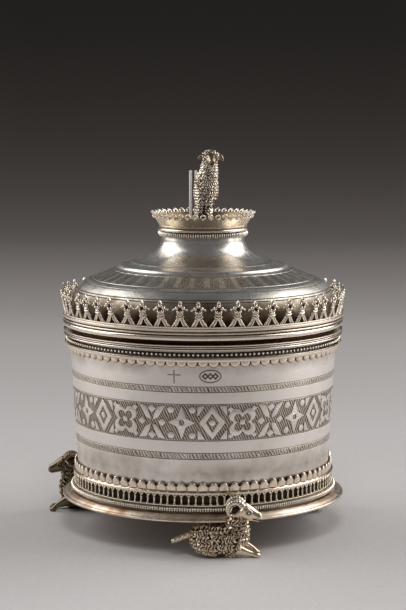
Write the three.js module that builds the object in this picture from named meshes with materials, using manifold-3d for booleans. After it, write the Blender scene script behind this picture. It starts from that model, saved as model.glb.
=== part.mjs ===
// A round silver pyx: a slightly conical box on three cast rams, with a lift-off ogee lid that
// carries a ring of fleurons and, on its neck, a coronet with a seated lamb.
//
// Millimetres, +Z up. The heights below are measured from the plane that the rams stand on. The
// finished group is lowered, so that its origin is the centre of the underside of the box's floor.

import * as THREE from 'three';
import { mergeVertices, mergeGeometries } from 'three/addons/utils/BufferGeometryUtils.js';
import Module from 'manifold-3d';

const wasm = await Module();
wasm.setup();

// Sheet, fits and the number of sides of the round pieces
const SHEET = 0.9;                 // raised sheet of the wall, the lid and the bezel
const SEAT_GAP = 0.3;              // room between a soldered piece and its round seat
const LID_CLEARANCE = 0.35;        // radial play of the lid over the bezel
const LARGE_SIDES = 36;
const SMALL_SIDES = 28;

// Foot flange of the box
const FEET_HEIGHT = 13.7;          // from the table to the lower edge of the flange's lip
const LIP_DROP = 2.4;              // from the flange's flat top down to the edge of its lip
const LIP_EDGE = 0.7;              // upright edge of the lip
const FLANGE_SHEET = 0.9;
const FLANGE_UNDER_WALL = 1.0;     // reach of the flange inward from the wall's foot
const FLANGE_FLAT = 3.7;           // reach of its flat top outward from the wall's foot
const LIP_REACH = 2.8;             // from the end of the flat top out to the lip's edge

// Wall and floor of the box
const WALL_FOOT_R = 48.9;
const WALL_TOP_R = 52.3;
const WALL_HEIGHT = 61.3;
const FLOOR_THICKNESS = 1.0;

// Rings round the foot of the wall, from the flange up
const MILLED_WIRE_OUT = 2.5;       // from the wall's foot out to the middle of the wire
const MILLED_WIRE_THICKNESS = 2.0;
const GALLERY_OUT = 2.1;           // from the wall's foot out to the gallery's outer side
const GALLERY_THICKNESS = 0.6;
const GALLERY_HEIGHT = 4.7;
const GALLERY_PITCH = 2.67;        // 120 windows
const GALLERY_SILL = 0.65;
const GALLERY_LINTEL = 0.75;
const GALLERY_COLUMN = 0.95;
const LEDGE_WIDTH = 1.6;           // from its seat on the wall out to its edge
const LEDGE_HEIGHT = 1.9;
const BASE_SCALLOP_PITCH = 3.95;   // 80 tongues
const BASE_SCALLOP_BAND = 0.5;
const BASE_SCALLOP_HEIGHT = 2.3;
const SCALLOP_SHEET = 0.5;

// Rings round the mouth of the box, from the wall's top edge down
const PEARL_CHANNEL = 2.7;
const PEARL_WIRE_THICKNESS = 1.6;
const MOULDING_OUT = 2.0;          // from the wall's top out to the moulding's edge
const MOULDING_HEIGHT = 1.5;
const PENDANT_PITCH = 4.0;         // 83 tongues
const PENDANT_BAND = 0.4;
const PENDANT_HEIGHT = 2.0;

// Cap ring on the wall's top edge, and the bezel that guides the lid
const CAP_OUT = 2.4;               // from the wall's top out to the ring's edge
const CAP_HEIGHT = 2.1;
const BEZEL_DEPTH = 7.4;           // the bezel's reach down inside the wall

// Lid
const LID_GAP = 1.6;               // the dark gap between the lid's rim and the cap ring
const LID_RIM_WIDTH = 2.8;         // from the rim's seat on the skirt out to its edge
const LID_RIM_HEIGHT = 4.5;
const SKIRT_HEIGHT = 8.9;          // upright part of the lid, from its rim's lower edge
const SHOULDER_WIDTH = 6.4;        // from the skirt in to the foot of the cone
const CONE_FOOT_HEIGHT = 17.3;
const CONE_TOP_R = 33.0;
const CONE_TOP_HEIGHT = 22.2;
const STEP_R = 27.0;               // inner edge of the moulded step above the cone
const STEP_HEIGHT = 24.2;
const NECK_R = 16.3;
const NECK_HEIGHT = 33.4;
const COLLAR_SEAT_STEP = 0.4;      // the neck is that much slimmer inside the two collar rings
const COLLAR_SEAT_HEIGHT = 37.2;

// Cresting of fleurons on the lid's rim
const FLEURON_PITCH = 7.03;        // 49 fleurons
const CREST_INSET = 0.2;           // from the rim's edge in to the strip's outer side
const CREST_LEAN = 0.13;           // outward lean for each millimetre of height
const CREST_THICKNESS = 0.8;
const CREST_STRIP = 0.7;
const FLEURON_HEIGHT = 9.6;        // above the strip

// Collar rings, coronet and its floor
const COLLAR_WIRE_THICKNESS = 1.3;
const COLLAR_TORUS_THICKNESS = 1.3;
const CORONET_OUT = 1.2;           // from the neck out to the coronet's outer side at its foot
const CORONET_FLARE = 3.1;
const CORONET_HEIGHT = 5.8;
const CORONET_SHEET = 0.7;
const CORONET_CUSP_PITCH = 2.56;   // 42 cusps
const CORONET_CUSP_HEIGHT = 1.2;
const CORONET_FLOOR = 0.8;

// Lamb, its staff, and the stud and nut that hold it
const LAMB_PLINTH = 1.5;
const PLINTH_WIDTH = 14.8;
const PLINTH_DEPTH = 15.6;
const LAMB_HEIGHT = 28.3;          // from the plinth's top to the crown of the head
const STAFF_HEIGHT = 20.1;
const STAFF_BAR = 1.2;
const STAFF_SLOT = 0.9;
const STAFF_THICKNESS = 1.1;
const STAFF_X = -5.45;             // outer side of the outer bar
const STAFF_Y = 1.6;
const STUD_R = 1.5;
const STUD_LENGTH = 5.2;
const STUD_CLEARANCE = 0.3;
const NUT_R = 3.4;
const NUT_HEIGHT = 2.2;

// Rams. Each stands with its middle at an azimuth round the box and a distance out from the wall's
// foot, and heads round the box, splayed outward from the tangent. Angles are in degrees.
const RAM_PLACES = {
  front: { azimuth: -82, out: 3.1, splay: 8 },
  left: { azimuth: 151, out: 7.0, splay: 56 },
  back: { azimuth: 33, out: 4.6, splay: 32 },
};
const RAM_LENGTH = 34.8;           // from the tail's tip to the muzzle
const RAM_LUG_R = 1.9;

// Heights that follow from the sizes above
const flangeTopZ = FEET_HEIGHT + LIP_DROP;
const wallTopZ = flangeTopZ + WALL_HEIGHT;
const milledWireZ = flangeTopZ + SEAT_GAP + MILLED_WIRE_THICKNESS / 2;
const galleryZ = milledWireZ + MILLED_WIRE_THICKNESS / 2 + SEAT_GAP;
const ledgeZ = galleryZ + GALLERY_HEIGHT;
const ledgeTopZ = ledgeZ + LEDGE_HEIGHT;
const mouldingTopZ = wallTopZ - PEARL_CHANNEL;
const mouldingZ = mouldingTopZ - MOULDING_HEIGHT;
const pearlWireZ = mouldingTopZ + SEAT_GAP + PEARL_WIRE_THICKNESS / 2;
const capTopZ = wallTopZ + CAP_HEIGHT;
const lidZ = capTopZ + LID_GAP;
const lidRimTopZ = lidZ + LID_RIM_HEIGHT;
const skirtTopZ = lidZ + SKIRT_HEIGHT;
const neckTopZ = lidZ + COLLAR_SEAT_HEIGHT;
const coronetFloorTopZ = neckTopZ + CORONET_FLOOR;
const plinthTopZ = coronetFloorTopZ + LAMB_PLINTH;

// Radii that follow
const wallTaper = (WALL_TOP_R - WALL_FOOT_R) / WALL_HEIGHT;
const wallR = (z) => WALL_FOOT_R + (z - flangeTopZ) * wallTaper;
const flangeHoleR = WALL_FOOT_R - FLANGE_UNDER_WALL;
const flangeBendR = WALL_FOOT_R + FLANGE_FLAT;
const flangeLipR = flangeBendR + LIP_REACH;
const milledWireR = WALL_FOOT_R + MILLED_WIRE_OUT;
const galleryR = WALL_FOOT_R + GALLERY_OUT;
const ledgeInnerR = wallR(ledgeTopZ) + SEAT_GAP;
const ledgeR = ledgeInnerR + LEDGE_WIDTH;
const mouthSeatR = WALL_TOP_R + SEAT_GAP;
const mouldingR = WALL_TOP_R + MOULDING_OUT;
const capR = WALL_TOP_R + CAP_OUT;
const bezelR = wallR(wallTopZ - BEZEL_DEPTH) - SHEET - SEAT_GAP;
const skirtR = bezelR + LID_CLEARANCE + SHEET;
const rimSeatR = skirtR + SEAT_GAP;
const lidRimR = rimSeatR + LID_RIM_WIDTH;
const coneFootR = skirtR - SHOULDER_WIDTH;
const crestR = lidRimR - CREST_INSET;
const collarSeatR = NECK_R - COLLAR_SEAT_STEP;
const coronetFootR = collarSeatR + CORONET_OUT;

// Finishes
const finishes = {
  silver: { color: 0xb9b4ab, metalness: 0.9, roughness: 0.35 },
  darkSilver: { color: 0x6d6256, metalness: 0.85, roughness: 0.5 },
  giltSilver: { color: 0xa8946a, metalness: 0.9, roughness: 0.4 },
};

const box = new THREE.Group();
const lid = new THREE.Group();

function addPiece(parent, name, geometry, finish) {
  const mesh = new THREE.Mesh(geometry, new THREE.MeshStandardMaterial(finishes[finish]));
  mesh.name = name;
  parent.add(mesh);
  return mesh;
}

// Turns a closed outline of [radius, height] points about Z. The outline runs anticlockwise.
function turned(outline, sides) {
  const profile = [...outline, outline[0]].map(([r, z]) => new THREE.Vector2(r, z));
  return new THREE.LatheGeometry(profile, sides).rotateX(Math.PI / 2);
}

// A ring of round wire about Z
function wireRing(ringR, z, thickness, sides) {
  const facets = 6;
  const outline = Array.from({ length: facets }, (_, i) => {
    const a = (i * 2 * Math.PI) / facets;
    return [ringR + (Math.cos(a) * thickness) / 2, z + (Math.sin(a) * thickness) / 2];
  });
  return turned(outline, sides);
}

// The inner side of a sheet whose outer side is an open outline that runs upwards
function insideOf(outline, sheet) {
  const normals = outline.slice(1).map(([r, z], i) => {
    const d = new THREE.Vector2(r - outline[i][0], z - outline[i][1]).normalize();
    return new THREE.Vector2(d.y, -d.x);
  });
  return outline.map(([r, z], i) => {
    const a = normals[Math.max(i - 1, 0)];
    const b = normals[Math.min(i, normals.length - 1)];
    const n = a.clone().add(b);
    n.multiplyScalar(sheet / n.dot(a));
    return [r - n.x, z - n.y];
  });
}

// A ring of equal cells cut from sheet. A cell is an outline, with holes, in [along, up]
// coordinates, one pitch wide and centred on zero; the outline is anticlockwise and the holes
// are clockwise. outerR gives the outer radius at a height, and pitch is the cell's width, which
// is fitted to a whole number of cells.
function cellRing({ cell, holes = [], pitch, z, outerR, sheet }) {
  const count = Math.round((2 * Math.PI * outerR(0)) / pitch);
  const loops = [cell, ...holes];
  const flat = loops.flat();
  const faces = THREE.ShapeUtils.triangulateShape(
    cell.map(([s, h]) => new THREE.Vector2(s, h)),
    holes.map((hole) => hole.map(([s, h]) => new THREE.Vector2(s, h))),
  );
  const step = (2 * Math.PI) / count;
  const positions = [];
  const point = (k, [s, h], inner) => {
    const a = (k + s / pitch) * step;
    const r = outerR(h) - (inner ? sheet : 0);
    return [r * Math.cos(a), r * Math.sin(a), z + h];
  };
  const onSeam = ([s]) => Math.abs(Math.abs(s) - pitch / 2) < 1e-6;
  for (let k = 0; k < count; k += 1) {
    for (const [a, b, c] of faces) {
      positions.push(...point(k, flat[a], false), ...point(k, flat[b], false));
      positions.push(...point(k, flat[c], false));
      positions.push(...point(k, flat[a], true), ...point(k, flat[c], true));
      positions.push(...point(k, flat[b], true));
    }
    for (const loop of loops) {
      loop.forEach((a, i) => {
        const b = loop[(i + 1) % loop.length];
        const shared = onSeam(a) && onSeam(b) && a[0] === b[0];
        if (shared) return;
        positions.push(...point(k, a, false), ...point(k, a, true), ...point(k, b, true));
        positions.push(...point(k, a, false), ...point(k, b, true), ...point(k, b, false));
      });
    }
  }
  return geometryFrom(positions);
}

function geometryFrom(positions) {
  const geometry = new THREE.BufferGeometry();
  geometry.setAttribute('position', new THREE.Float32BufferAttribute(positions, 3));
  return geometry;
}

// A closed body through oval sections. Each section is [x, y, z, half width, half height]; its
// plane is square to the path, and its width lies across the world's up direction.
function loft(sections, sides, up = [0, 0, 1]) {
  const centres = sections.map(([x, y, z]) => new THREE.Vector3(x, y, z));
  const upward = new THREE.Vector3(...up);
  const last = centres.length - 1;
  const rings = sections.map(([, , , halfWidth, halfHeight], i) => {
    const from = centres[Math.max(i - 1, 0)];
    const to = centres[Math.min(i + 1, last)];
    const along = to.clone().sub(from).normalize();
    const across = upward.clone().cross(along).normalize();
    const over = along.clone().cross(across);
    return Array.from({ length: sides }, (_, k) => {
      const a = (k * 2 * Math.PI) / sides;
      return centres[i].clone()
        .addScaledVector(across, Math.cos(a) * halfWidth)
        .addScaledVector(over, Math.sin(a) * halfHeight);
    });
  });
  const positions = [];
  const triangle = (a, b, c) => positions.push(...a.toArray(), ...b.toArray(), ...c.toArray());
  for (let k = 0; k < sides; k += 1) {
    const n = (k + 1) % sides;
    for (let i = 0; i < last; i += 1) {
      triangle(rings[i][k], rings[i][n], rings[i + 1][n]);
      triangle(rings[i][k], rings[i + 1][n], rings[i + 1][k]);
    }
    triangle(centres[0], rings[0][n], rings[0][k]);
    triangle(centres[last], rings[last][k], rings[last][n]);
  }
  return geometryFrom(positions);
}

function toSolid(geometry) {
  const bare = geometry.clone();
  bare.deleteAttribute('normal');
  bare.deleteAttribute('uv');
  const merged = mergeVertices(bare, 1e-4);
  const vertProperties = new Float32Array(merged.attributes.position.array);
  const triVerts = new Uint32Array(merged.index.array);
  return new wasm.Manifold(new wasm.Mesh({ numProp: 3, vertProperties, triVerts }));
}

function fromSolid(solid) {
  const { vertProperties, triVerts } = solid.getMesh();
  const geometry = new THREE.BufferGeometry();
  geometry.setAttribute('position', new THREE.BufferAttribute(vertProperties, 3));
  geometry.setIndex(new THREE.BufferAttribute(triVerts, 1));
  return geometry;
}

function joined(geometries) {
  return geometries.map(toSolid).reduce((whole, piece) => whole.add(piece));
}

// Box: flange, wall and floor
const flangeUndersideZ = flangeTopZ - FLANGE_SHEET;

addPiece(box, 'base_flange', turned([
  [flangeHoleR, flangeUndersideZ],
  [flangeBendR - FLANGE_SHEET / 2, flangeUndersideZ],
  [flangeLipR - LIP_EDGE, FEET_HEIGHT],
  [flangeLipR, FEET_HEIGHT],
  [flangeLipR, FEET_HEIGHT + LIP_EDGE],
  [flangeBendR, flangeTopZ],
  [flangeHoleR, flangeTopZ],
], LARGE_SIDES), 'silver');

addPiece(box, 'body_wall', turned([
  [WALL_FOOT_R - SHEET, flangeTopZ],
  [WALL_FOOT_R, flangeTopZ],
  [WALL_TOP_R, wallTopZ],
  [WALL_TOP_R - SHEET, wallTopZ],
], LARGE_SIDES), 'silver');

addPiece(box, 'body_floor', turned([
  [0, flangeTopZ],
  [WALL_FOOT_R - SHEET - SEAT_GAP, flangeTopZ],
  [WALL_FOOT_R - SHEET - SEAT_GAP, flangeTopZ + FLOOR_THICKNESS],
  [0, flangeTopZ + FLOOR_THICKNESS],
], LARGE_SIDES), 'silver');

// Box: rings round the foot
addPiece(box, 'base_milled_wire',
  wireRing(milledWireR, milledWireZ, MILLED_WIRE_THICKNESS, LARGE_SIDES), 'silver');

const windowHalf = (GALLERY_PITCH - GALLERY_COLUMN) / 2;
const windowTop = GALLERY_HEIGHT - GALLERY_LINTEL;
addPiece(box, 'base_gallery', cellRing({
  cell: [
    [-GALLERY_PITCH / 2, 0], [GALLERY_PITCH / 2, 0],
    [GALLERY_PITCH / 2, GALLERY_HEIGHT], [-GALLERY_PITCH / 2, GALLERY_HEIGHT],
  ],
  holes: [[
    [-windowHalf, GALLERY_SILL], [-windowHalf, windowTop],
    [windowHalf, windowTop], [windowHalf, GALLERY_SILL],
  ]],
  pitch: GALLERY_PITCH,
  z: galleryZ,
  outerR: () => galleryR,
  sheet: GALLERY_THICKNESS,
}), 'giltSilver');

addPiece(box, 'gallery_ledge', turned([
  [ledgeInnerR, ledgeZ],
  [ledgeR, ledgeZ],
  [ledgeR, ledgeZ + 0.25 * LEDGE_HEIGHT],
  [ledgeInnerR + 0.55 * LEDGE_WIDTH, ledgeZ + 0.85 * LEDGE_HEIGHT],
  [ledgeInnerR + 0.4 * LEDGE_WIDTH, ledgeTopZ],
  [ledgeInnerR, ledgeTopZ],
], LARGE_SIDES), 'silver');

// A band of tongues against the wall, pointing up or down. tip is the width of a tongue's end,
// as a share of the pitch.
function tongueBand({ pitch, band, height, tip, z, direction }) {
  const seatR = (h) => wallR(z + h) + SEAT_GAP + SCALLOP_SHEET;
  const end = tip > 0 ? [[(tip * pitch) / 2, height], [(-tip * pitch) / 2, height]] : [[0, height]];
  const up = [[-pitch / 2, 0], [pitch / 2, 0], [pitch / 2, band], ...end, [-pitch / 2, band]];
  const cell = direction > 0 ? up : up.map(([s, h]) => [s, -h]).reverse();
  return cellRing({ cell, pitch, z, outerR: seatR, sheet: SCALLOP_SHEET });
}

addPiece(box, 'base_scallop_band', tongueBand({
  pitch: BASE_SCALLOP_PITCH,
  band: BASE_SCALLOP_BAND,
  height: BASE_SCALLOP_HEIGHT,
  tip: 0,
  z: ledgeTopZ,
  direction: 1,
}), 'silver');

// Box: rings round the mouth
addPiece(box, 'rim_scallop_band', tongueBand({
  pitch: PENDANT_PITCH,
  band: PENDANT_BAND,
  height: PENDANT_HEIGHT,
  tip: 0.4,
  z: mouldingZ,
  direction: -1,
}), 'silver');

addPiece(box, 'rim_lower_moulding', turned([
  [mouthSeatR, mouldingZ],
  [mouldingR - 0.4, mouldingZ],
  [mouldingR, mouldingZ + 0.4 * MOULDING_HEIGHT],
  [mouldingR, mouldingTopZ],
  [mouthSeatR, mouldingTopZ],
], LARGE_SIDES), 'silver');

addPiece(box, 'rim_pearl_wire',
  wireRing(mouthSeatR + PEARL_WIRE_THICKNESS / 2, pearlWireZ, PEARL_WIRE_THICKNESS, LARGE_SIDES),
  'darkSilver');

const capInnerR = bezelR + SEAT_GAP;
addPiece(box, 'rim_cap_ring', turned([
  [capInnerR, wallTopZ],
  [capR - 0.5, wallTopZ],
  [capR - 0.1, wallTopZ + 0.2 * CAP_HEIGHT],
  [capR - 0.4, wallTopZ + 0.45 * CAP_HEIGHT],
  [capR, wallTopZ + 0.65 * CAP_HEIGHT],
  [capR - 0.2, capTopZ],
  [capInnerR, capTopZ],
], LARGE_SIDES), 'silver');

const bezelTopZ = skirtTopZ - SEAT_GAP;
addPiece(box, 'body_bezel', turned([
  [bezelR - SHEET, wallTopZ - BEZEL_DEPTH],
  [bezelR, wallTopZ - BEZEL_DEPTH],
  [bezelR, bezelTopZ],
  [bezelR - SHEET, bezelTopZ],
], LARGE_SIDES), 'silver');

// Lid: raised shell. Its skirt rises upright, rounds over a shoulder, runs in as a shallow cone,
// steps up, and flares into the neck.
const shoulder = new THREE.QuadraticBezierCurve(
  new THREE.Vector2(skirtR, skirtTopZ),
  new THREE.Vector2(skirtR - 1.3, lidZ + CONE_FOOT_HEIGHT - 2.4),
  new THREE.Vector2(coneFootR, lidZ + CONE_FOOT_HEIGHT),
);
const flare = new THREE.CubicBezierCurve(
  new THREE.Vector2(STEP_R, lidZ + STEP_HEIGHT),
  new THREE.Vector2(NECK_R + 2.2, lidZ + STEP_HEIGHT + 2.3),
  new THREE.Vector2(NECK_R + 0.1, lidZ + NECK_HEIGHT - 3.5),
  new THREE.Vector2(NECK_R, lidZ + NECK_HEIGHT),
);
const shellOutside = [
  [skirtR, lidZ + SEAT_GAP],
  ...shoulder.getPoints(3).map((p) => p.toArray()),
  [CONE_TOP_R, lidZ + CONE_TOP_HEIGHT],
  [CONE_TOP_R - 0.8, lidZ + CONE_TOP_HEIGHT + 0.8],
  ...flare.getPoints(4).map((p) => p.toArray()),
  [collarSeatR, neckTopZ - COLLAR_WIRE_THICKNESS - COLLAR_TORUS_THICKNESS],
  [collarSeatR, neckTopZ],
];
addPiece(lid, 'lid_dome',
  turned([...shellOutside, ...insideOf(shellOutside, SHEET).reverse()], LARGE_SIDES), 'silver');

addPiece(lid, 'lid_rim', turned([
  [rimSeatR, lidZ],
  [lidRimR - 0.5, lidZ],
  [lidRimR, lidZ + 0.15 * LID_RIM_HEIGHT],
  [lidRimR - 0.7, lidZ + 0.36 * LID_RIM_HEIGHT],
  [lidRimR - 0.1, lidZ + 0.45 * LID_RIM_HEIGHT],
  [lidRimR - 0.1, lidZ + 0.67 * LID_RIM_HEIGHT],
  [lidRimR - 0.7, lidZ + 0.76 * LID_RIM_HEIGHT],
  [lidRimR, lidZ + 0.88 * LID_RIM_HEIGHT],
  [lidRimR, lidRimTopZ],
  [rimSeatR, lidRimTopZ],
], LARGE_SIDES), 'silver');

// Lid: cresting. Each fleuron has two splayed legs, a rosette whose arms meet the neighbours'
// arms, and a pointed leaf on top.
const half = FLEURON_PITCH / 2;
const share = (part) => CREST_STRIP + part * FLEURON_HEIGHT;
const fleuronSide = [
  [half, 0], [half, CREST_STRIP], [0.84 * half, CREST_STRIP], [0.16 * half, share(0.4)],
  [0.44 * half, share(0.54)], [half, share(0.63)], [half, share(0.7)], [0.3 * half, share(0.78)],
];
addPiece(lid, 'lid_cresting', cellRing({
  cell: [
    ...fleuronSide, [0, share(1)], ...fleuronSide.map(([s, h]) => [-s, h]).reverse(),
  ],
  holes: [[[-0.5 * half, share(0.03)], [0, share(0.3)], [0.5 * half, share(0.03)]]],
  pitch: FLEURON_PITCH,
  z: lidRimTopZ,
  outerR: (h) => crestR + CREST_LEAN * h,
  sheet: CREST_THICKNESS,
}), 'silver');

// Lid: collar rings round the neck
const collarTorusZ = neckTopZ - COLLAR_TORUS_THICKNESS / 2 + SEAT_GAP / 2;
const collarWireZ = collarTorusZ - (COLLAR_TORUS_THICKNESS + COLLAR_WIRE_THICKNESS) / 2 - SEAT_GAP / 2;
const collarRing = (z, thickness) =>
  wireRing(collarSeatR + SEAT_GAP + thickness / 2, z, thickness, SMALL_SIDES);
addPiece(lid, 'neck_collar', collarRing(collarTorusZ, COLLAR_TORUS_THICKNESS), 'silver');
addPiece(lid, 'neck_milled_wire', collarRing(collarWireZ, COLLAR_WIRE_THICKNESS), 'silver');

// Lid: coronet and the floor that closes the neck
const coronetZ = collarTorusZ + COLLAR_TORUS_THICKNESS / 2 + SEAT_GAP / 2;
const coronetWall = CORONET_HEIGHT - CORONET_CUSP_HEIGHT;
addPiece(lid, 'coronet', cellRing({
  cell: [
    [-CORONET_CUSP_PITCH / 2, 0], [CORONET_CUSP_PITCH / 2, 0], [CORONET_CUSP_PITCH / 2, coronetWall],
    [0, CORONET_HEIGHT], [-CORONET_CUSP_PITCH / 2, coronetWall],
  ],
  pitch: CORONET_CUSP_PITCH,
  z: coronetZ,
  outerR: (h) => coronetFootR + (CORONET_FLARE * h) / CORONET_HEIGHT,
  sheet: CORONET_SHEET,
}), 'giltSilver');

const coronetFloorR = coronetFootR - CORONET_SHEET - SEAT_GAP;
addPiece(lid, 'coronet_floor', turned([
  [STUD_R + STUD_CLEARANCE, neckTopZ],
  [coronetFloorR, neckTopZ],
  [coronetFloorR, coronetFloorTopZ],
  [STUD_R + STUD_CLEARANCE, coronetFloorTopZ],
], SMALL_SIDES), 'giltSilver');

// Lid: staff of two upright bars joined at their foot, standing on the lamb's plinth
const staffWidth = 2 * STAFF_BAR + STAFF_SLOT;
const staffFoot = 1.4;
function staffShape(margin) {
  const shape = new THREE.Shape();
  shape.moveTo(-margin, -margin);
  shape.lineTo(staffWidth + margin, -margin);
  shape.lineTo(staffWidth + margin, STAFF_HEIGHT + margin);
  if (margin === 0) {
    shape.lineTo(staffWidth - STAFF_BAR, STAFF_HEIGHT);
    shape.lineTo(staffWidth - STAFF_BAR, staffFoot);
    shape.lineTo(STAFF_BAR, staffFoot);
    shape.lineTo(STAFF_BAR, STAFF_HEIGHT);
  }
  shape.lineTo(-margin, STAFF_HEIGHT + margin);
  shape.closePath();
  return new THREE.ExtrudeGeometry(shape, {
    depth: STAFF_THICKNESS + 2 * margin, bevelEnabled: false,
  }).translate(0, 0, -STAFF_THICKNESS / 2 - margin).rotateX(Math.PI / 2)
    .translate(STAFF_X, STAFF_Y, plinthTopZ);
}
addPiece(lid, 'lamb_staff', staffShape(0), 'silver');

// Lid: seated lamb on its plinth, one casting. Its sections are in hundredths of its height, with
// their heights above the plinth's top.
const hundredthsOf = (size, sections) => sections.map((section) => section.map((v) => (v * size) / 100));
const onPlinth = (sections) => hundredthsOf(LAMB_HEIGHT, sections)
  .map(([x, y, h, w, d]) => [x, y, plinthTopZ + h, w, d]);
const FORWARD = [0, -1, 0];
const lambBody = loft(onPlinth([
  [2.1, 5.7, -1, 14.8, 16.3], [2.1, 6, 14, 17.3, 19.8], [2.8, 4.2, 32, 17.3, 18.4],
  [5.3, 0.7, 54, 14.8, 14.8], [7.4, -1.4, 74, 12, 12.4], [9.9, -1.1, 88, 9.5, 10.2],
]), 9, FORWARD);
const lambHead = loft(onPlinth([
  [10.2, 9.2, 90, 5.3, 4.9], [10.2, 3.5, 90.5, 10.6, 9.5], [11, -5.7, 89.5, 10.2, 9.2],
  [12, -14.8, 86, 6.7, 6.4], [12.7, -20.5, 83.5, 3.9, 3.5],
]), 7);
const lambEars = [
  onPlinth([[4.2, 2.1, 91.5, 2.1, 2.5], [-1.4, 1.1, 90, 2.5, 3.2], [-6.7, 0, 87, 1.1, 1.4]]),
  onPlinth([[17, 2.1, 91.5, 2.1, 2.5], [24.4, 1.1, 89.5, 2.5, 3.2], [27.9, 0, 83, 1.1, 1.4]]),
].map((sections) => loft(sections, 5));
const lambLegs = [-1, 1].map((side) => loft(onPlinth([
  [3.2 + 6.7 * side, -9.2, 42, 5.3, 5.3], [3.2 + 7.4 * side, -14.8, 20, 3.9, 3.9],
  [3.2 + 7.8 * side, -17.3, 5, 3.5, 3.5], [3.2 + 7.8 * side, -17.7, -1, 4.6, 5.3],
]), 6, FORWARD));
const lambHaunches = [-1, 1].map((side) => loft(onPlinth([
  [2.1 + 11 * side, 19.1, 13, 2.8, 4.9], [2.1 + 12 * side, 11.3, 15, 6.4, 12.7],
  [2.1 + 12.4 * side, 0.7, 11, 6, 10.6], [2.1 + 12 * side, -11.3, 3, 4.2, 4.6],
]), 6));
const plinthOutline = Array.from({ length: 16 }, (_, i) => {
  const a = (i * 2 * Math.PI) / 16;
  return new THREE.Vector2((PLINTH_WIDTH / 2) * Math.cos(a), (PLINTH_DEPTH / 2) * Math.sin(a));
});
const plinth = new THREE.ExtrudeGeometry(new THREE.Shape(plinthOutline), {
  depth: LAMB_PLINTH, bevelEnabled: false,
}).translate(0, 0, coronetFloorTopZ);
const belowPlinthTop = new THREE.BoxGeometry(2 * PLINTH_WIDTH, 2 * PLINTH_DEPTH, LAMB_HEIGHT)
  .translate(0, 0, plinthTopZ - LAMB_HEIGHT / 2);
const lambFigure = joined([lambBody, lambHead, ...lambEars, ...lambLegs, ...lambHaunches])
  .subtract(toSolid(belowPlinthTop))
  .subtract(toSolid(staffShape(SEAT_GAP)));
addPiece(lid, 'lamb', fromSolid(lambFigure.add(toSolid(plinth))), 'silver');

// Lid: stud soldered under the plinth, and the nut under the coronet's floor
addPiece(lid, 'finial_stud', turned([
  [0, coronetFloorTopZ - STUD_LENGTH],
  [STUD_R, coronetFloorTopZ - STUD_LENGTH],
  [STUD_R, coronetFloorTopZ],
  [0, coronetFloorTopZ],
], 12), 'silver');

const nutShape = new THREE.Shape(Array.from({ length: 6 }, (_, i) => {
  const a = (i * Math.PI) / 3;
  return new THREE.Vector2(NUT_R * Math.cos(a), NUT_R * Math.sin(a));
}));
nutShape.holes.push(new THREE.Path().absarc(0, 0, STUD_R + STUD_CLEARANCE, 0, 2 * Math.PI, true));
addPiece(lid, 'finial_nut', new THREE.ExtrudeGeometry(nutShape, {
  depth: NUT_HEIGHT, bevelEnabled: false, curveSegments: 12,
}).translate(0, 0, neckTopZ - NUT_HEIGHT), 'silver');

// Rams. A ram is drawn heading along +X with its left side towards +Y, standing on z = 0. Its
// sections are in hundredths of its length.
const ramLoft = (sections, sides, up) => loft(hundredthsOf(RAM_LENGTH, sections), sides, up);
const onBothSides = (sectionsOf) => [-1, 1].map(sectionsOf);
const ramBody = ramLoft([
  [-31.6, 0, 18.1, 4.6, 5.5], [-28.2, 0, 18.7, 10.1, 11.5], [-18.7, 0, 19.5, 13.8, 16.4],
  [-2.9, 0, 20.4, 14.4, 17], [12.9, -0.9, 21, 13.8, 18.4], [23, -2.3, 20.7, 11.8, 17.8],
  [27.6, -3.4, 19.8, 6.3, 11.2],
], 9);
const ramNeck = ramLoft([
  [13.8, -1.4, 24.4, 12.6, 12.6], [15.5, -6.3, 39.7, 10.6, 10.9], [16.7, -10.3, 51.1, 7.5, 8.9],
  [16.7, -11.8, 59.8, 5.7, 6.9],
], 7, [-1, 0, 0]);
const ramHead = ramLoft([
  [14.4, -11.8, 62.9, 4.3, 4.3], [20.1, -12.4, 58.6, 6.3, 6.6], [26.4, -12.9, 54.6, 6.6, 6.6],
  [33, -13.5, 50, 5.5, 5.2], [38.5, -14.1, 46.6, 4.6, 4.6], [41.4, -14.4, 44.8, 2.9, 2.9],
], 7);
const ramTail = ramLoft([
  [-25.9, 0, 20.7, 4, 4.3], [-36.2, -0.9, 19.5, 3.7, 4], [-46.6, -2, 18.7, 3.2, 3.2],
  [-56, -2.9, 18.4, 1.7, 1.7],
], 5);
const ramEars = onBothSides((side) => ramLoft([
  [20.7, -12.1 + 4.6 * side, 56, 2, 2], [17.8, -11.8 + 9.8 * side, 53.2, 1.7, 2.6],
  [14.4, -11.5 + 13.2 * side, 50, 0.9, 0.9],
], 5));
const ramHaunches = onBothSides((side) => ramLoft([
  [-26.7, 9.5 * side, 14.4, 2.6, 4.3], [-20.7, 11.2 * side, 15.2, 5.5, 9.2],
  [-11.2, 12.1 * side, 15.2, 6, 9.8], [-2.6, 12.1 * side, 13.2, 4.3, 6.9],
  [2.6, 11.8 * side, 11.5, 2.6, 3.4],
], 6));
const ramHindFeet = onBothSides((side) => ramLoft([
  [-20.7, 0.9 + 6.9 * side, 7.5, 3.4, 3.7], [-14.9, 0.9 + 5.5 * side, 3.4, 3.2, 3.2],
  [-9.8, 0.9 + 4.3 * side, 1.7, 3.4, 3.2], [-6.6, 0.9 + 4 * side, 1.4, 2.6, 2.3],
], 5));
const ramForelegs = onBothSides((side) => ramLoft([
  [15.8, 1.7 + 7.5 * side, 12.6, 5.5, 6.9], [25.3, 2 + 7.5 * side, 7.8, 4.3, 5.2],
  [32.5, 2.3 + 7.5 * side, 3.7, 2.9, 3.2], [37.1, 2.3 + 7.5 * side, 2, 4, 3.4],
  [39.9, 2.3 + 7.2 * side, 1.4, 2.6, 2.3],
], 6));
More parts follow.
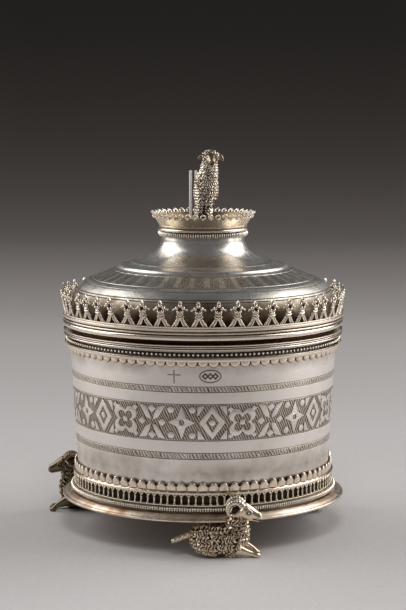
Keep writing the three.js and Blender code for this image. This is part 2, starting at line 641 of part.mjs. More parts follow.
const ramFigure = joined([
  ramBody, ramNeck, ramHead, ramTail, ...ramEars, ...ramHaunches, ...ramHindFeet, ...ramForelegs,
]);

// A horn curls from the crown back, down and forward beside the head. room thickens it, for the
// seat that the casting leaves round it. Its sizes are in hundredths of the ram's length too.
const HORN_SECTIONS = 8;
const HORN_SWEEP = 0.66 * 2 * Math.PI;
const HORN_START = THREE.MathUtils.degToRad(70);
function horn(side, room) {
  const thicken = (room * 100) / RAM_LENGTH;
  const last = HORN_SECTIONS - 1;
  return ramLoft(Array.from({ length: HORN_SECTIONS }, (_, i) => {
    const t = i / last;
    const reach = 7.7 - 1.9 * t;
    const ends = thicken * (Number(i === last) - Number(i === 0));
    const a = HORN_START + t * HORN_SWEEP + ends / reach;
    const thick = 3.3 - 1.9 * t + thicken;
    const out = 5.6 + 4.2 * Math.sin((t * Math.PI) / 1.6);
    return [
      12.4 + reach * Math.cos(a), -12.5 + side * out, 56 + 1.2 * side + reach * Math.sin(a),
      thick, thick,
    ];
  }), 6, [0, 1, 0]);
}

// Everything that a ram must keep clear of: the flange with the wire above it, and the table
const wireOuterR = milledWireR + MILLED_WIRE_THICKNESS / 2;
const flangeRoom = turned([
  [0, flangeUndersideZ - SEAT_GAP],
  [flangeBendR - FLANGE_SHEET / 2 - SEAT_GAP, flangeUndersideZ - SEAT_GAP],
  [flangeLipR - LIP_EDGE - SEAT_GAP, FEET_HEIGHT - SEAT_GAP],
  [flangeLipR + SEAT_GAP, FEET_HEIGHT - SEAT_GAP],
  [flangeLipR + SEAT_GAP, FEET_HEIGHT + LIP_EDGE + SEAT_GAP],
  [wireOuterR + SEAT_GAP, flangeTopZ + SEAT_GAP],
  [wireOuterR + SEAT_GAP, ledgeTopZ],
  [0, ledgeTopZ],
], LARGE_SIDES);
const tableR = flangeLipR + RAM_LENGTH;
const underTable = new THREE.CylinderGeometry(tableR, tableR, FEET_HEIGHT)
  .rotateX(Math.PI / 2).translate(0, 0, -FEET_HEIGHT / 2);

// A ram's lug, from the middle of its back up to the flat of the flange
const lugSeatR = (flangeHoleR + flangeBendR - FLANGE_SHEET / 2) / 2;
const ramLug = new THREE.CylinderGeometry(RAM_LUG_R, RAM_LUG_R, flangeTopZ / 2, 8)
  .rotateX(Math.PI / 2).translate(lugSeatR, 0, (3 * flangeTopZ) / 4);

for (const [name, { azimuth, out, splay }] of Object.entries(RAM_PLACES)) {
  const place = new THREE.Matrix4()
    .makeRotationZ(Math.PI / 2 - THREE.MathUtils.degToRad(splay))
    .setPosition(WALL_FOOT_R + out, 0, 0);
  const hornAt = (side, room) => horn(side, room).applyMatrix4(place);
  const casting = toSolid(fromSolid(ramFigure).applyMatrix4(place))
    .add(toSolid(ramLug))
    .subtract(toSolid(flangeRoom))
    .subtract(toSolid(underTable))
    .subtract(toSolid(hornAt(1, SEAT_GAP)))
    .subtract(toSolid(hornAt(-1, SEAT_GAP)));
  const foot = new THREE.Group();
  foot.rotation.z = THREE.MathUtils.degToRad(azimuth);
  box.add(foot);
  addPiece(foot, `ram_${name}`, fromSolid(casting), 'darkSilver');
  addPiece(foot, `ram_${name}_horn_inner`, hornAt(1, 0), 'darkSilver');
  addPiece(foot, `ram_${name}_horn_outer`, hornAt(-1, 0), 'darkSilver');
}

const pyx = new THREE.Group();
pyx.add(box, lid);
pyx.position.z = -flangeTopZ;

export default pyx;
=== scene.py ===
# A round silver pyx on three couchant rams, with a lift-off lid that carries a crest of fleurons
# and a seated lamb inside a coronet.
#
# Sizes are written in millimetres and turned into metres by MM. Heights are measured from the
# table that the rams lie on, as up(height).

import math
from functools import partial

import bmesh
import bpy
from mathutils import Matrix, Vector
from mathutils.bvhtree import BVHTree


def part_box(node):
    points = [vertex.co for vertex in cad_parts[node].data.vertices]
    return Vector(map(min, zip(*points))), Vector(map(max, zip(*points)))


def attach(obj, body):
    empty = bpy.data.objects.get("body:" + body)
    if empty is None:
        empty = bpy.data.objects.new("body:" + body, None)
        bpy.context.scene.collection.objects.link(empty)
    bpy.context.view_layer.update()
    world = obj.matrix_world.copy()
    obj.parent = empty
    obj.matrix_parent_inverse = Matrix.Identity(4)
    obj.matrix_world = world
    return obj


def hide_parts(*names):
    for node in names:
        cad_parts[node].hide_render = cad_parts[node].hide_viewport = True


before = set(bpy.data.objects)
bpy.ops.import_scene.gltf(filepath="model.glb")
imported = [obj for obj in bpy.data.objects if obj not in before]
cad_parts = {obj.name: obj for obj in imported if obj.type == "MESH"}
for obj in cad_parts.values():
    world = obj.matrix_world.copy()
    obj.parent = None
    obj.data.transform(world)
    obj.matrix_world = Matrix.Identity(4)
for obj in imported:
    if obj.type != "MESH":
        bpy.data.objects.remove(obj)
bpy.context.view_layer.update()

MM = 0.001
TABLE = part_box("ram_front")[0].z
scene = bpy.context.scene

# Radii of the wall at its foot and at its mouth, and their heights
WALL_FOOT_R, WALL_FOOT_H = 48.9, 16.1
WALL_TOP_R, WALL_TOP_H = 52.3, 77.4

# Undersides of the flange's plate and lip, where the plate ends, and the lip's radius
PLATE_H, LIP_H = 15.2, 13.7
LIP_INSIDE_R, LIP_R = 52.15, 55.4


def up(height):
    return height * MM + TABLE


def wall_radius(height):
    share = (height - WALL_FOOT_H) / (WALL_TOP_H - WALL_FOOT_H)
    return WALL_FOOT_R + share * (WALL_TOP_R - WALL_FOOT_R)


# Node trees

def place(tree, kind, inputs=None, **settings):
    """A node with its settings; an input is a value, or a socket to link from."""
    node = tree.nodes.new(kind)
    for key, value in settings.items():
        setattr(node, key, value)
    for key, value in (inputs or {}).items():
        if isinstance(value, bpy.types.NodeSocket):
            tree.links.new(value, node.inputs[key])
        else:
            node.inputs[key].default_value = value
    return node


def calc(tree, operation, *values, clamp=False):
    node = place(tree, "ShaderNodeMath", dict(enumerate(values)), operation=operation)
    node.use_clamp = clamp
    return node.outputs[0]


def remap(tree, value, low, high, to_low=0.0, to_high=1.0):
    node = place(tree, "ShaderNodeMapRange", {
        "Value": value, "From Min": low, "From Max": high, "To Min": to_low, "To Max": to_high,
    })
    return node.outputs["Result"]


def short_forms(tree):
    """The three functions above, for one tree."""
    return partial(place, tree), partial(calc, tree), partial(remap, tree)


# Meshes and pieces

def new_piece(name, mesh):
    piece = bpy.data.objects.new(name, mesh)
    scene.collection.objects.link(piece)
    return piece


def plain_mesh(holder):
    """The finished mesh of a curve or of a piece with a modifier, which is used up."""
    bpy.context.view_layer.update()
    deps = bpy.context.evaluated_depsgraph_get()
    mesh = bpy.data.meshes.new_from_object(holder.evaluated_get(deps))
    bpy.data.objects.remove(holder)
    return mesh


def facing_out(mesh, weld=0.0):
    """Turns every face outward, and first welds points that are closer than weld."""
    work = bmesh.new()
    work.from_mesh(mesh)
    if weld:
        bmesh.ops.remove_doubles(work, verts=work.verts, dist=weld * MM)
    bmesh.ops.recalc_face_normals(work, faces=work.faces)
    work.to_mesh(mesh)
    work.free()


def mesh_from(name, points, faces, sharp=35):
    mesh = bpy.data.meshes.new(name)
    mesh.from_pydata([tuple(p) for p in points], [], faces)
    mesh.validate()
    mesh.shade_smooth()
    mesh.set_sharp_from_angle(angle=math.radians(sharp))
    return mesh


def turned(name, outline, sides=240, sharp=35):
    """Turns a closed, anticlockwise outline of (radius, height) points about the axis."""
    points, rings, faces = [], [], []
    for radius, height in outline:
        if radius == 0:
            rings.append([len(points)] * sides)
            points.append((0, 0, up(height)))
            continue
        rings.append(range(len(points), len(points) + sides))
        for k in range(sides):
            a = 2 * math.pi * k / sides
            points.append((radius * MM * math.cos(a), radius * MM * math.sin(a), up(height)))
    for lower, upper in zip(rings, rings[1:] + rings[:1]):
        for k in range(sides):
            n = (k + 1) % sides
            face = list(dict.fromkeys([lower[k], lower[n], upper[n], upper[k]]))
            if len(face) > 2:
                faces.append(face)
    return new_piece(name, mesh_from(name, points, faces, sharp))


def bulge(r0, h0, r1, h1, out, steps=8):
    """A half-round from one outline point to another; out is negative for a hollow."""
    along = Vector((r1 - r0, h1 - h0))
    normal = Vector((along.y, -along.x)).normalized()
    return [
        tuple(Vector((r0, h0)) + along * (1 - math.cos(t)) / 2 + normal * out * math.sin(t))
        for t in (math.pi * i / steps for i in range(1, steps))
    ]


def curve_through(points, steps=6):
    """A smooth open line through outline points or section values."""
    line = []
    for i in range(len(points) - 1):
        p0, p1 = points[max(i - 1, 0)], points[i]
        p2, p3 = points[i + 1], points[min(i + 2, len(points) - 1)]
        for k in range(steps):
            t = k / steps
            line.append(tuple(
                0.5 * (2 * b + (c - a) * t + (2 * a - 5 * b + 4 * c - d) * t * t
                       + (3 * b - a - 3 * c + d) * t ** 3)
                for a, b, c, d in zip(p0, p1, p2, p3)
            ))
    return line + [tuple(points[-1])]


def softened(outline, radius=0.15):
    """The closed outline with each corner cut to a small round."""
    result = []
    count = len(outline)
    for i, corner in enumerate(outline):
        corner = Vector(corner)
        before, after = Vector(outline[i - 1]) - corner, Vector(outline[(i + 1) % count]) - corner
        if corner.x == 0 or before.angle(after, math.pi) > math.radians(150):
            result.append(tuple(corner))
            continue
        reach = min(radius, before.length / 2.2, after.length / 2.2)
        start, end = corner + before.normalized() * reach, corner + after.normalized() * reach
        for t in (0, 0.33, 0.67, 1):
            result.append(tuple(start.lerp(corner, t).lerp(corner.lerp(end, t), t)))
    return result


def joined(name, pieces):
    with bpy.context.temp_override(
        active_object=pieces[0], object=pieces[0],
        selected_objects=pieces, selected_editable_objects=pieces,
    ):
        bpy.ops.object.join()
    pieces[0].name = name
    return pieces[0]


def plate(name, outlines, thickness, edge):
    """A flat piece with rounded edges from closed outlines of (x, z) points, facing -Y."""
    shape = bpy.data.curves.new(name, "CURVE")
    shape.dimensions = "2D"
    shape.fill_mode = "BOTH"
    shape.extrude = max(thickness / 2 - edge, 0.001) * MM
    shape.bevel_depth = edge * MM
    shape.bevel_resolution = 1
    shape.offset = -edge * MM
    for outline in outlines:
        spline = shape.splines.new("POLY")
        spline.points.add(len(outline) - 1)
        for point, (x, z) in zip(spline.points, outline):
            point.co = (x * MM, z * MM, 0, 1)
        spline.use_cyclic_u = True
    mesh = plain_mesh(new_piece(name, shape))
    mesh.transform(Matrix.Rotation(math.pi / 2, 4, "X"))
    facing_out(mesh, 0.002)
    mesh.shade_smooth()
    mesh.set_sharp_from_angle(angle=math.radians(40))
    return new_piece(name, mesh)


def tube(stations, sides, tips, upward=None):
    """The points and faces of a closed tube through (x, y, z, half width, half height). tips are
    the lengths of its two pointed ends."""
    points, faces = [], []
    last = len(stations) - 1
    for i, (x, y, z, width, height) in enumerate(stations):
        before, after = stations[max(i - 1, 0)], stations[min(i + 1, last)]
        along = (Vector(after[:3]) - Vector(before[:3])).normalized()
        side = upward or ((0, 1, 0) if abs(along.y) < 0.9 else (1, 0, 0))
        across = Vector(side).cross(along).normalized()
        over = along.cross(across)
        for k in range(sides):
            a = 2 * math.pi * k / sides
            offset = across * math.cos(a) * width + over * math.sin(a) * height
            points.append(Vector((x, y, z)) + offset)
    for i in range(last):
        for k in range(sides):
            n = (k + 1) % sides
            lower, upper = i * sides, (i + 1) * sides
            faces.append([lower + k, lower + n, upper + n, upper + k])
    for end, sign, length in ((0, -1, tips[0]), (last, 1, tips[1])):
        centre = Vector(stations[end][:3])
        onward = (centre - Vector(stations[end - sign][:3])).normalized()
        tip = len(points)
        points.append(centre + onward * length)
        for k in range(sides):
            ring = [end * sides + k, end * sides + (k + 1) % sides]
            faces.append((ring if sign > 0 else ring[::-1]) + [tip])
    return points, faces


def rod(name, path, radii, sides=10, squash=1.0):
    """A rod with rounded ends along a path of (x, y, z) points; squash flattens its depth."""
    stations = [(*spot, radius, radius * squash) for spot, radius in zip(path, radii)]
    points, faces = tube(stations, sides, (radii[0] / 2, radii[-1] / 2))
    return new_piece(name, mesh_from(name, [p * MM for p in points], faces, 60))


def oblong(x0, y0, x1, y1):
    """The outline of an upright rectangle."""
    return [(x0, y0), (x1, y0), (x1, y1), (x0, y1)]


def around(count, radius, start=0.0, centre=(0, 0), flatten=1.0):
    """The corners of a polygon, or of a section if centre is a radius and a height."""
    return [
        (centre[0] + radius * math.cos(math.radians(start + 360 * i / count)),
         centre[1] + radius * flatten * math.sin(math.radians(start + 360 * i / count)))
        for i in range(count)
    ]


def ball(name, centre, radius, segments=10, rings=7, stretch=(1, 1, 1)):
    work = bmesh.new()
    bmesh.ops.create_uvsphere(work, u_segments=segments, v_segments=rings, radius=radius * MM)
    mesh = bpy.data.meshes.new(name)
    work.to_mesh(mesh)
    work.free()
    mesh.transform(Matrix.Diagonal((*stretch, 1)))
    mesh.transform(Matrix.Translation(Vector(centre) * MM))
    mesh.shade_smooth()
    return new_piece(name, mesh)


# Geometry Nodes

def new_growth(name, sockets):
    """A tree with input sockets from (kind, labels), and one more for its material."""
    tree = bpy.data.node_groups.new(name, "GeometryNodeTree")
    for kind, labels in [*sockets, ("Material", "Material")]:
        for label in labels.split(", "):
            tree.interface.new_socket(name=label, in_out="INPUT", socket_type="NodeSocket" + kind)
    tree.interface.new_socket(name="Geometry", in_out="OUTPUT", socket_type="NodeSocketGeometry")
    return tree, place(tree, "NodeGroupInput").outputs


def end_growth(tree, geometry, material):
    real = place(tree, "GeometryNodeRealizeInstances", {0: geometry}).outputs[0]
    dressed = place(tree, "GeometryNodeSetMaterial", {"Geometry": real, "Material": material})
    place(tree, "NodeGroupOutput", {0: dressed.outputs[0]})
    return tree


def grown(name, tree, sizes, start=None):
    """Runs a tree on an empty mesh, or on a copy of start's mesh, and keeps the plain result."""
    mesh = start.data if start else bpy.data.meshes.new(name)
    holder = new_piece(name, mesh)
    modifier = holder.modifiers.new("Growth", "NODES")
    modifier.node_group = tree
    identifiers = {
        item.name: item.identifier for item in tree.interface.items_tree
        if item.item_type == "SOCKET" and item.in_out == "INPUT"
    }
    for label, value in sizes.items():
        modifier[identifiers[label]] = value
    result = plain_mesh(holder)
    if start:
        bpy.data.objects.remove(start)
    return new_piece(name, result)


def make_ring_growth():
    """Copies of one small piece side by side, bent round the axis. The piece is drawn as it is
    seen from in front: x to the right, z up, and -y towards the viewer."""
    tree, given = new_growth("Ring of pieces", [
        ("Object", "Piece"), ("Int", "Count, Seed"),
        ("Float", "Radius, Height, First Angle, Slope"),
        ("Float", "Lean Wander, Turn Wander, Place Wander, Size Wander")])
    put, do, _ = short_forms(tree)
    index = put("GeometryNodeInputIndex").outputs[0]
    pitch = do("DIVIDE", do("MULTIPLY", given["Radius"], 2 * math.pi), given["Count"])

    def wander(label, shift):
        seed = do("ADD", given["Seed"], shift)
        chance = put("FunctionNodeRandomValue", {2: -1.0, 3: 1.0, "ID": index, "Seed": seed},
                     data_type="FLOAT").outputs[1]
        return do("MULTIPLY", chance, given[label])

    along = do("ADD", do("MULTIPLY", index, pitch), wander("Place Wander", 0))
    spot = put("ShaderNodeCombineXYZ", {"X": along}).outputs[0]
    points = put("GeometryNodePoints", {"Count": given["Count"], "Position": spot})
    turn = put("ShaderNodeCombineXYZ", {
        "X": wander("Lean Wander", 11), "Y": wander("Turn Wander", 23)}).outputs[0]
    size = do("ADD", wander("Size Wander", 37), 1.0)
    piece = put("GeometryNodeObjectInfo", {"Object": given["Piece"]})
    copies = put("GeometryNodeInstanceOnPoints", {
        "Points": points.outputs[0], "Instance": piece.outputs["Geometry"], "Rotation": turn,
        "Scale": size})
    real = put("GeometryNodeRealizeInstances", {0: copies.outputs[0]}).outputs[0]
    at = put("ShaderNodeSeparateXYZ", {0: put("GeometryNodeInputPosition").outputs[0]}).outputs
    angle = do("ADD", do("DIVIDE", at["X"], given["Radius"]), given["First Angle"])
    leaning = do("MULTIPLY_ADD", at["Z"], given["Slope"], given["Radius"])
    radius = do("SUBTRACT", leaning, at["Y"])
    bent = put("ShaderNodeCombineXYZ", {
        "X": do("MULTIPLY", radius, do("COSINE", angle)),
        "Y": do("MULTIPLY", radius, do("SINE", angle)),
        "Z": do("ADD", at["Z"], given["Height"])}).outputs[0]
    ring = put("GeometryNodeSetPosition", {"Geometry": real, "Position": bent})
    return end_growth(tree, ring.outputs[0], given["Material"])


def make_horn_growth():
    """A horn that tapers along a flat spiral and is ringed with ribs."""
    tree, given = new_growth("Ribbed horn", [
        ("Float", "Turns, Root Reach, Tip Reach, Side Drift, Root Thickness, Tip Thickness"),
        ("Float", "Ribs, Rib Depth")])
    put, do, span = short_forms(tree)
    spiral = put("GeometryNodeCurveSpiral", {
        "Resolution": 200, "Rotations": given["Turns"], "Start Radius": given["Root Reach"],
        "End Radius": given["Tip Reach"], "Height": given["Side Drift"], "Reverse": True})
    share = put("GeometryNodeSplineParameter").outputs["Factor"]
    taper = span(share, 0.0, 1.0, given["Root Thickness"], given["Tip Thickness"])
    phase = do("MULTIPLY", do("MULTIPLY", share, given["Ribs"]), math.pi)
    rib = do("POWER", do("ABSOLUTE", do("SINE", phase)), 0.4)
    depth = do("MULTIPLY_ADD", do("SUBTRACT", rib, 1.0), given["Rib Depth"], 1.0)
    rounded = do("POWER", do("SUBTRACT", 1.001, do("POWER", share, 12.0)), 0.5)
    thickness = do("MULTIPLY", do("MULTIPLY", taper, depth), rounded)
    section = put("GeometryNodeCurvePrimitiveCircle", {"Resolution": 18, "Radius": 1.0})
    horn = put("GeometryNodeCurveToMesh", {
        "Curve": spiral.outputs[0], "Profile Curve": section.outputs[0], "Scale": thickness,
        "Fill Caps": True})
    return end_growth(tree, horn.outputs[0], given["Material"])


def make_fleece_growth():
    """Raises wavy locks of wool on a skin where its attribute wool is above zero, and keeps the
    height of the locks in the attribute lock."""
    tree, given = new_growth("Fleece", [
        ("Geometry", "Skin"), ("Vector", "Heading"),
        ("Float", "Lock Pitch, Lock Height, Wave Pitch, Wave Depth, Break Scale, Seed")])
    put, do, _ = short_forms(tree)
    position = put("GeometryNodeInputPosition").outputs[0]
    normal = put("GeometryNodeInputNormal").outputs[0]
    wool = put("GeometryNodeInputNamedAttribute", {"Name": "wool"}).outputs[0]
    across = put("ShaderNodeVectorMath", {0: position, 1: given["Heading"]},
                 operation="DOT_PRODUCT").outputs["Value"]
    rise = put("ShaderNodeSeparateXYZ", {0: position}).outputs["Z"]
    noise = put("ShaderNodeTexNoise", {
        "Vector": position, "W": given["Seed"], "Scale": given["Break Scale"], "Detail": 1.0,
    }, noise_dimensions="4D").outputs[0]
    stray = do("SUBTRACT", noise, 0.5)
    waves = do("DIVIDE", do("MULTIPLY", rise, 2 * math.pi), given["Wave Pitch"])
    climb = do("MULTIPLY_ADD", stray, 3.0, waves)
    sway = do("MULTIPLY", do("SINE", climb), given["Wave Depth"])
    drift = do("MULTIPLY", do("MULTIPLY", stray, given["Lock Pitch"]), 3.2)
    run = do("ADD", do("ADD", across, sway), drift)
    phase = do("DIVIDE", do("MULTIPLY", run, math.pi), given["Lock Pitch"])
    ridge = do("POWER", do("ABSOLUTE", do("SINE", phase)), 0.7)
    knuckle = do("MULTIPLY_ADD", do("SINE", do("MULTIPLY", climb, 2.0)), 0.22, 0.85)
    lock = do("MULTIPLY", ridge, knuckle)
    woolly = do("MULTIPLY", do("SUBTRACT", lock, 0.45), wool)
    lift = do("MULTIPLY", woolly, given["Lock Height"])
    offset = put("ShaderNodeVectorMath", {0: normal, "Scale": lift}, operation="SCALE").outputs[0]
    kept = put("GeometryNodeStoreNamedAttribute", {
        "Geometry": given["Skin"], "Name": "lock", "Value": lock,
    }, data_type="FLOAT", domain="POINT")
    raised = put("GeometryNodeSetPosition", {"Geometry": kept.outputs[0], "Offset": offset})
    return end_growth(tree, raised.outputs[0], given["Material"])


ring_growth = make_ring_growth()
horn_growth = make_horn_growth()
fleece_growth = make_fleece_growth()


def ring_of(name, piece, count, radius, height, material, first=-90.0, slope=0.0, lean=0.0,
            turn=0.0, shift=0.0, size=0.0, seed=1):
    """A ring of copies of a drawn piece, which is used up."""
    ring = grown(name, ring_growth, {
        "Piece": piece, "Count": count, "Radius": radius * MM, "Height": up(height),
        "First Angle": math.radians(first), "Slope": slope, "Lean Wander": lean,
        "Turn Wander": turn, "Place Wander": shift * MM, "Size Wander": size, "Seed": seed,
        "Material": material,
    })
    bpy.data.objects.remove(piece)
    return ring


# Finishes
BROWN, DARK_BROWN = (0.26, 0.175, 0.10), (0.11, 0.065, 0.034)
# Of the next two colours, the second is painted shade: the black of gaps, channels and recesses.
DEEP_BROWN, PAINTED_SHADE_BLACK = (0.05, 0.029, 0.017), (0.034, 0.022, 0.014)

# Heights of the lines engraved on the wall, and the frieze between them
WALL_LINES = [36.3, 38.6, 43.3, 57.1, 61.6, 63.7]
FRIEZE_FOOT, FRIEZE_HEAD, FRIEZE_R = 43.5, 56.9, 50.8


def strokes(low, high, radius, pitch, slant=62, block=0, waver=0.9, depth=1.1, shade=0.25):
    """A band of slanting engraved strokes between two heights. block is half the step of the
    bare uprights that stand in it, or 0."""
    return low, high, radius, pitch, slant, block, waver, depth, shade


def new_finish(name):
    """An empty material, short forms for its tree, and the object's own coordinates."""
    material = bpy.data.materials.new(name)
    material.use_nodes = True
    material.node_tree.nodes.clear()
    put, do, span = short_forms(material.node_tree)
    spot = put("ShaderNodeTexCoord").outputs["Object"]
    return material, put, do, span, spot, put("ShaderNodeSeparateXYZ", {0: spot}).outputs


def old_silver(name, clean, stain, hollow=1.0, reach=1.6, cloud=0.5, base=0.0, rough=(0.2, 0.4),
               grain=0.2, heights=(), painted_shade_bands=(), lines=(), engraved=(), lock=False, bare=0.0,
               pits=0.0, metal=1.0):
    """Worn metal. stain lies all over by base and gathers in clouds. In hollows within reach it
    darkens by ambient occlusion, as tarnish together with painted shade. Round the given heights,
    each a (height, spread, strength), it darkens likewise, and on the wall some of these bands are
    painted shade; the bands of painted shade blacken likewise. lines are the heights of engraved
    lines, and engraved holds bands of strokes. lock darkens wool between its locks, as tarnish
    together with painted shade, and bare darkens the skin beside it as painted shade."""
    material, put, do, span, spot, at = new_finish(name)
    times = partial(do, "MULTIPLY")

    def noise(scale, detail, stretch=None):
        where = spot
        if stretch:
            where = put("ShaderNodeMapping", {"Vector": spot, "Scale": stretch}).outputs[0]
        return put("ShaderNodeTexNoise", {
            "Vector": where, "Scale": scale, "Detail": detail, "Roughness": 0.6}).outputs[0]

    def plus(a, b, scale=1.0):
        return do("MULTIPLY_ADD", a, scale, b)

    def away_from(value, middle):
        return do("ABSOLUTE", do("SUBTRACT", value, middle))

    def near(height, spread):
        return span(away_from(at["Z"], up(height)), spread * MM, 0.0)

    def blended(factor, first, second):
        return put("ShaderNodeMix", {0: factor, 6: first, 7: (*second, 1)},
                   data_type="RGBA").outputs[2]

    # Ambient occlusion darkens the hollows: tarnish there, together with painted shade in the
    # gaps, recesses and creases between parts.
    openness = put("ShaderNodeAmbientOcclusion", {"Distance": reach * MM}, samples=8)
    closed = do("SUBTRACT", 1.0, openness.outputs["AO"])
    mask = do("MULTIPLY_ADD", closed, hollow, base)
    drift = do("SUBTRACT", plus(noise(38, 3), times(noise(150, 5), 0.5), 0.5), 0.5)
    mask = plus(drift, mask, 2 * cloud)
    patchy = plus(drift, 1.0, 2.5)
    for height, spread, strength in heights:
        mask = plus(times(near(height, spread), patchy), mask, strength)
    relief = times(noise(2600, 4), 0.25)
    relief = plus(noise(420, 2), relief, 0.5)
    relief = plus(noise(5200, 2, (0.06, 0.06, 1.0)), relief, 0.35)
    for height in lines:
        line = near(height, 0.24)
        mask = plus(line, mask, 0.85)
        relief = plus(line, relief, -2.0)
    for low, high, radius, pitch, slant, block, waver, depth, shade in engraved:
        along = times(do("ARCTAN2", at["Y"], at["X"]), radius * MM)
        if block:
            along = do("PINGPONG", plus(noise(300, 2), along, MM), block * MM)
        tilt = math.radians(slant)
        line = plus(at["Z"], times(along, math.sin(tilt)), math.cos(tilt))
        line = plus(noise(300, 2), line, waver * MM)
        saw = do("FRACT", do("DIVIDE", line, pitch * MM))
        stroke = span(away_from(saw, 0.5), 0.3, 0.05)
        half = (high - low) / 2 * MM
        inside = span(away_from(at["Z"], up((low + high) / 2)), half, half - 0.15 * MM)
        if block:
            inside = times(inside, span(along, 0.3 * block * MM, 0.38 * block * MM))
        cut = times(times(stroke, inside), plus(drift, 1.0, 1.2))
        mask = plus(inside, plus(cut, mask, depth), shade)
        relief = plus(cut, relief, -2.2 * depth)
    if pits:
        cells = put("ShaderNodeTexVoronoi", {"Vector": spot, "Scale": 170.0})
        chance = put("ShaderNodeSeparateColor", {0: cells.outputs["Color"]}).outputs[0]
        pit = times(span(cells.outputs["Distance"], 0.07, 0.04), span(chance, 0.8, 0.9))
        mask = plus(pit, mask, pits)
        relief = plus(pit, relief, -1.5)
    # Wool between the locks is darkened as tarnish together with painted shade, and bare skin as
    # painted shade.
    if lock:
        wool = put("ShaderNodeAttribute", attribute_name="lock").outputs["Fac"]
        on = put("ShaderNodeAttribute", attribute_name="wool").outputs["Fac"]
        mask = plus(times(span(wool, 0.66, 0.2), on), mask, 1.9)
        mask = plus(do("SUBTRACT", 1.0, on), mask, bare)
    deep = span(mask, 0.85, 1.9)
    mask = do("ADD", mask, 0.0, clamp=True)
    colour = blended(mask, (*clean, 1), stain)
    colour = blended(deep, colour, DEEP_BROWN)
    # Bands of painted shade, blackened round their heights.
    for height, spread, strength in painted_shade_bands:
        colour = blended(times(near(height, spread), strength, clamp=True), colour, PAINTED_SHADE_BLACK)
    roughness = plus(mask, span(noise(300, 4), 0.3, 0.7, *rough), 0.12)
    bump = put("ShaderNodeBump", {
        "Strength": grain, "Distance": 0.1 * MM, "Height": relief}).outputs[0]
    shader = put("ShaderNodeBsdfPrincipled", {
        "Base Color": colour, "Roughness": roughness, "Normal": bump, "Metallic": metal})
    put("ShaderNodeOutputMaterial", {"Surface": shader.outputs[0]})
    return material


# Painted shade on the wall: the bands round 72.5 mm, between the pendant tongues, and round 26.2
# mm, between and behind the scales, and the black band round 20.9 mm, behind the gallery's
# columns.
wall_silver = old_silver(
    "Wall silver", (0.94, 0.89, 0.835), (0.33, 0.245, 0.165), hollow=2.2, reach=0.7, cloud=0.42,
    base=-0.02, rough=(0.27, 0.4), grain=0.22, pits=0.9, metal=0.88,
    heights=[(31.0, 7.0, 0.45), (72.5, 1.0, 2.4), (70.5, 3.5, 0.35), (26.2, 1.6, 1.7)],
    painted_shade_bands=[(20.9, 3.5, 2.0)], lines=WALL_LINES, engraved=[
        strokes(36.5, 38.4, 50.0, 1.1, waver=2.6), strokes(61.8, 63.5, 51.5, 1.1, waver=2.6),
        strokes(FRIEZE_FOOT, FRIEZE_HEAD, FRIEZE_R, 0.9, slant=63, depth=1.6, shade=0.5)])
ornament_silver = old_silver(
    "Ornament silver", (0.95, 0.90, 0.845), (0.33, 0.245, 0.165), hollow=0.6, cloud=0.35,
    reach=0.6, rough=(0.2, 0.32), grain=0.3, pits=0.5, metal=0.9, engraved=[
        strokes(FRIEZE_FOOT, FRIEZE_HEAD, FRIEZE_R, 0.62, slant=20, waver=0.5, depth=0.25,
                shade=0.0)])
engraving_dark = old_silver(
    "Engraving dark", (0.16, 0.12, 0.085), DARK_BROWN, cloud=0.8, rough=(0.4, 0.6))
lid_silver = old_silver(
    "Lid silver", (0.76, 0.725, 0.67), (0.27, 0.215, 0.155), cloud=0.6, base=0.08,
    rough=(0.22, 0.38), grain=0.45, heights=[(87.0, 8.0, 1.9), (94.0, 4.0, 0.6)], pits=0.5,
    lines=[94.6, 95.5, 98.0, 99.0, 102.7], engraved=[
        strokes(99.2, 102.5, 39.0, 0.8, slant=60, block=2.7, waver=0.8, depth=0.7, shade=0.4)])
# Painted shade: silver blackened by ambient occlusion over a long reach, for the gap under the lid
# and the inside of the box and lid.
inner_painted_shade = old_silver(
    "Bezel silver", (0.70, 0.66, 0.60), PAINTED_SHADE_BLACK, hollow=2.6, reach=5.0, cloud=0.4, rough=(0.26, 0.4))
rim_silver = old_silver(
    "Rim silver", (0.92, 0.81, 0.685), DARK_BROWN, hollow=1.9, reach=0.8, cloud=0.6, base=-0.15,
    rough=(0.16, 0.28), grain=0.1)
crest_silver = old_silver(
    "Crest silver", (0.99, 0.88, 0.725), DARK_BROWN, hollow=1.5, reach=0.7, cloud=0.8, base=-0.18,
    rough=(0.14, 0.28), grain=0.12)
tongue_silver = old_silver(
    "Tongue silver", (0.94, 0.80, 0.65), DARK_BROWN, hollow=1.2, reach=0.8, cloud=0.6, base=-0.18,
    rough=(0.2, 0.32), grain=0.12)
foot_silver = old_silver(
    "Foot silver", (0.96, 0.85, 0.715), (0.36, 0.21, 0.11), hollow=1.1, cloud=1.2, base=0.05,
    rough=(0.2, 0.36), grain=0.12, heights=[(15.7, 1.1, 0.6), (14.4, 0.7, 0.45)])
underside_silver = old_silver(
    "Underside silver", (0.45, 0.37, 0.29), DARK_BROWN, hollow=0.6, cloud=1.2, base=0.3,
    rough=(0.3, 0.45))
gallery_gilt = old_silver(
    "Gallery gilt", (0.98, 0.86, 0.66), DARK_BROWN, hollow=0.6, reach=0.6, cloud=0.6, base=-0.2,
    rough=(0.16, 0.3), grain=0.1)
coronet_gilt = old_silver(
    "Coronet gilt", (0.91, 0.78, 0.60), (0.28, 0.18, 0.10), hollow=1.6, reach=1.2, cloud=1.3,
    base=0.15, rough=(0.16, 0.3), grain=0.15)
# Painted shade: the coronet's inside and floor are painted dark.
coronet_painted_shade = old_silver(
    "Coronet inside", (0.31, 0.225, 0.135), DARK_BROWN, reach=3.0, cloud=1.2, base=0.35,
    rough=(0.3, 0.45))
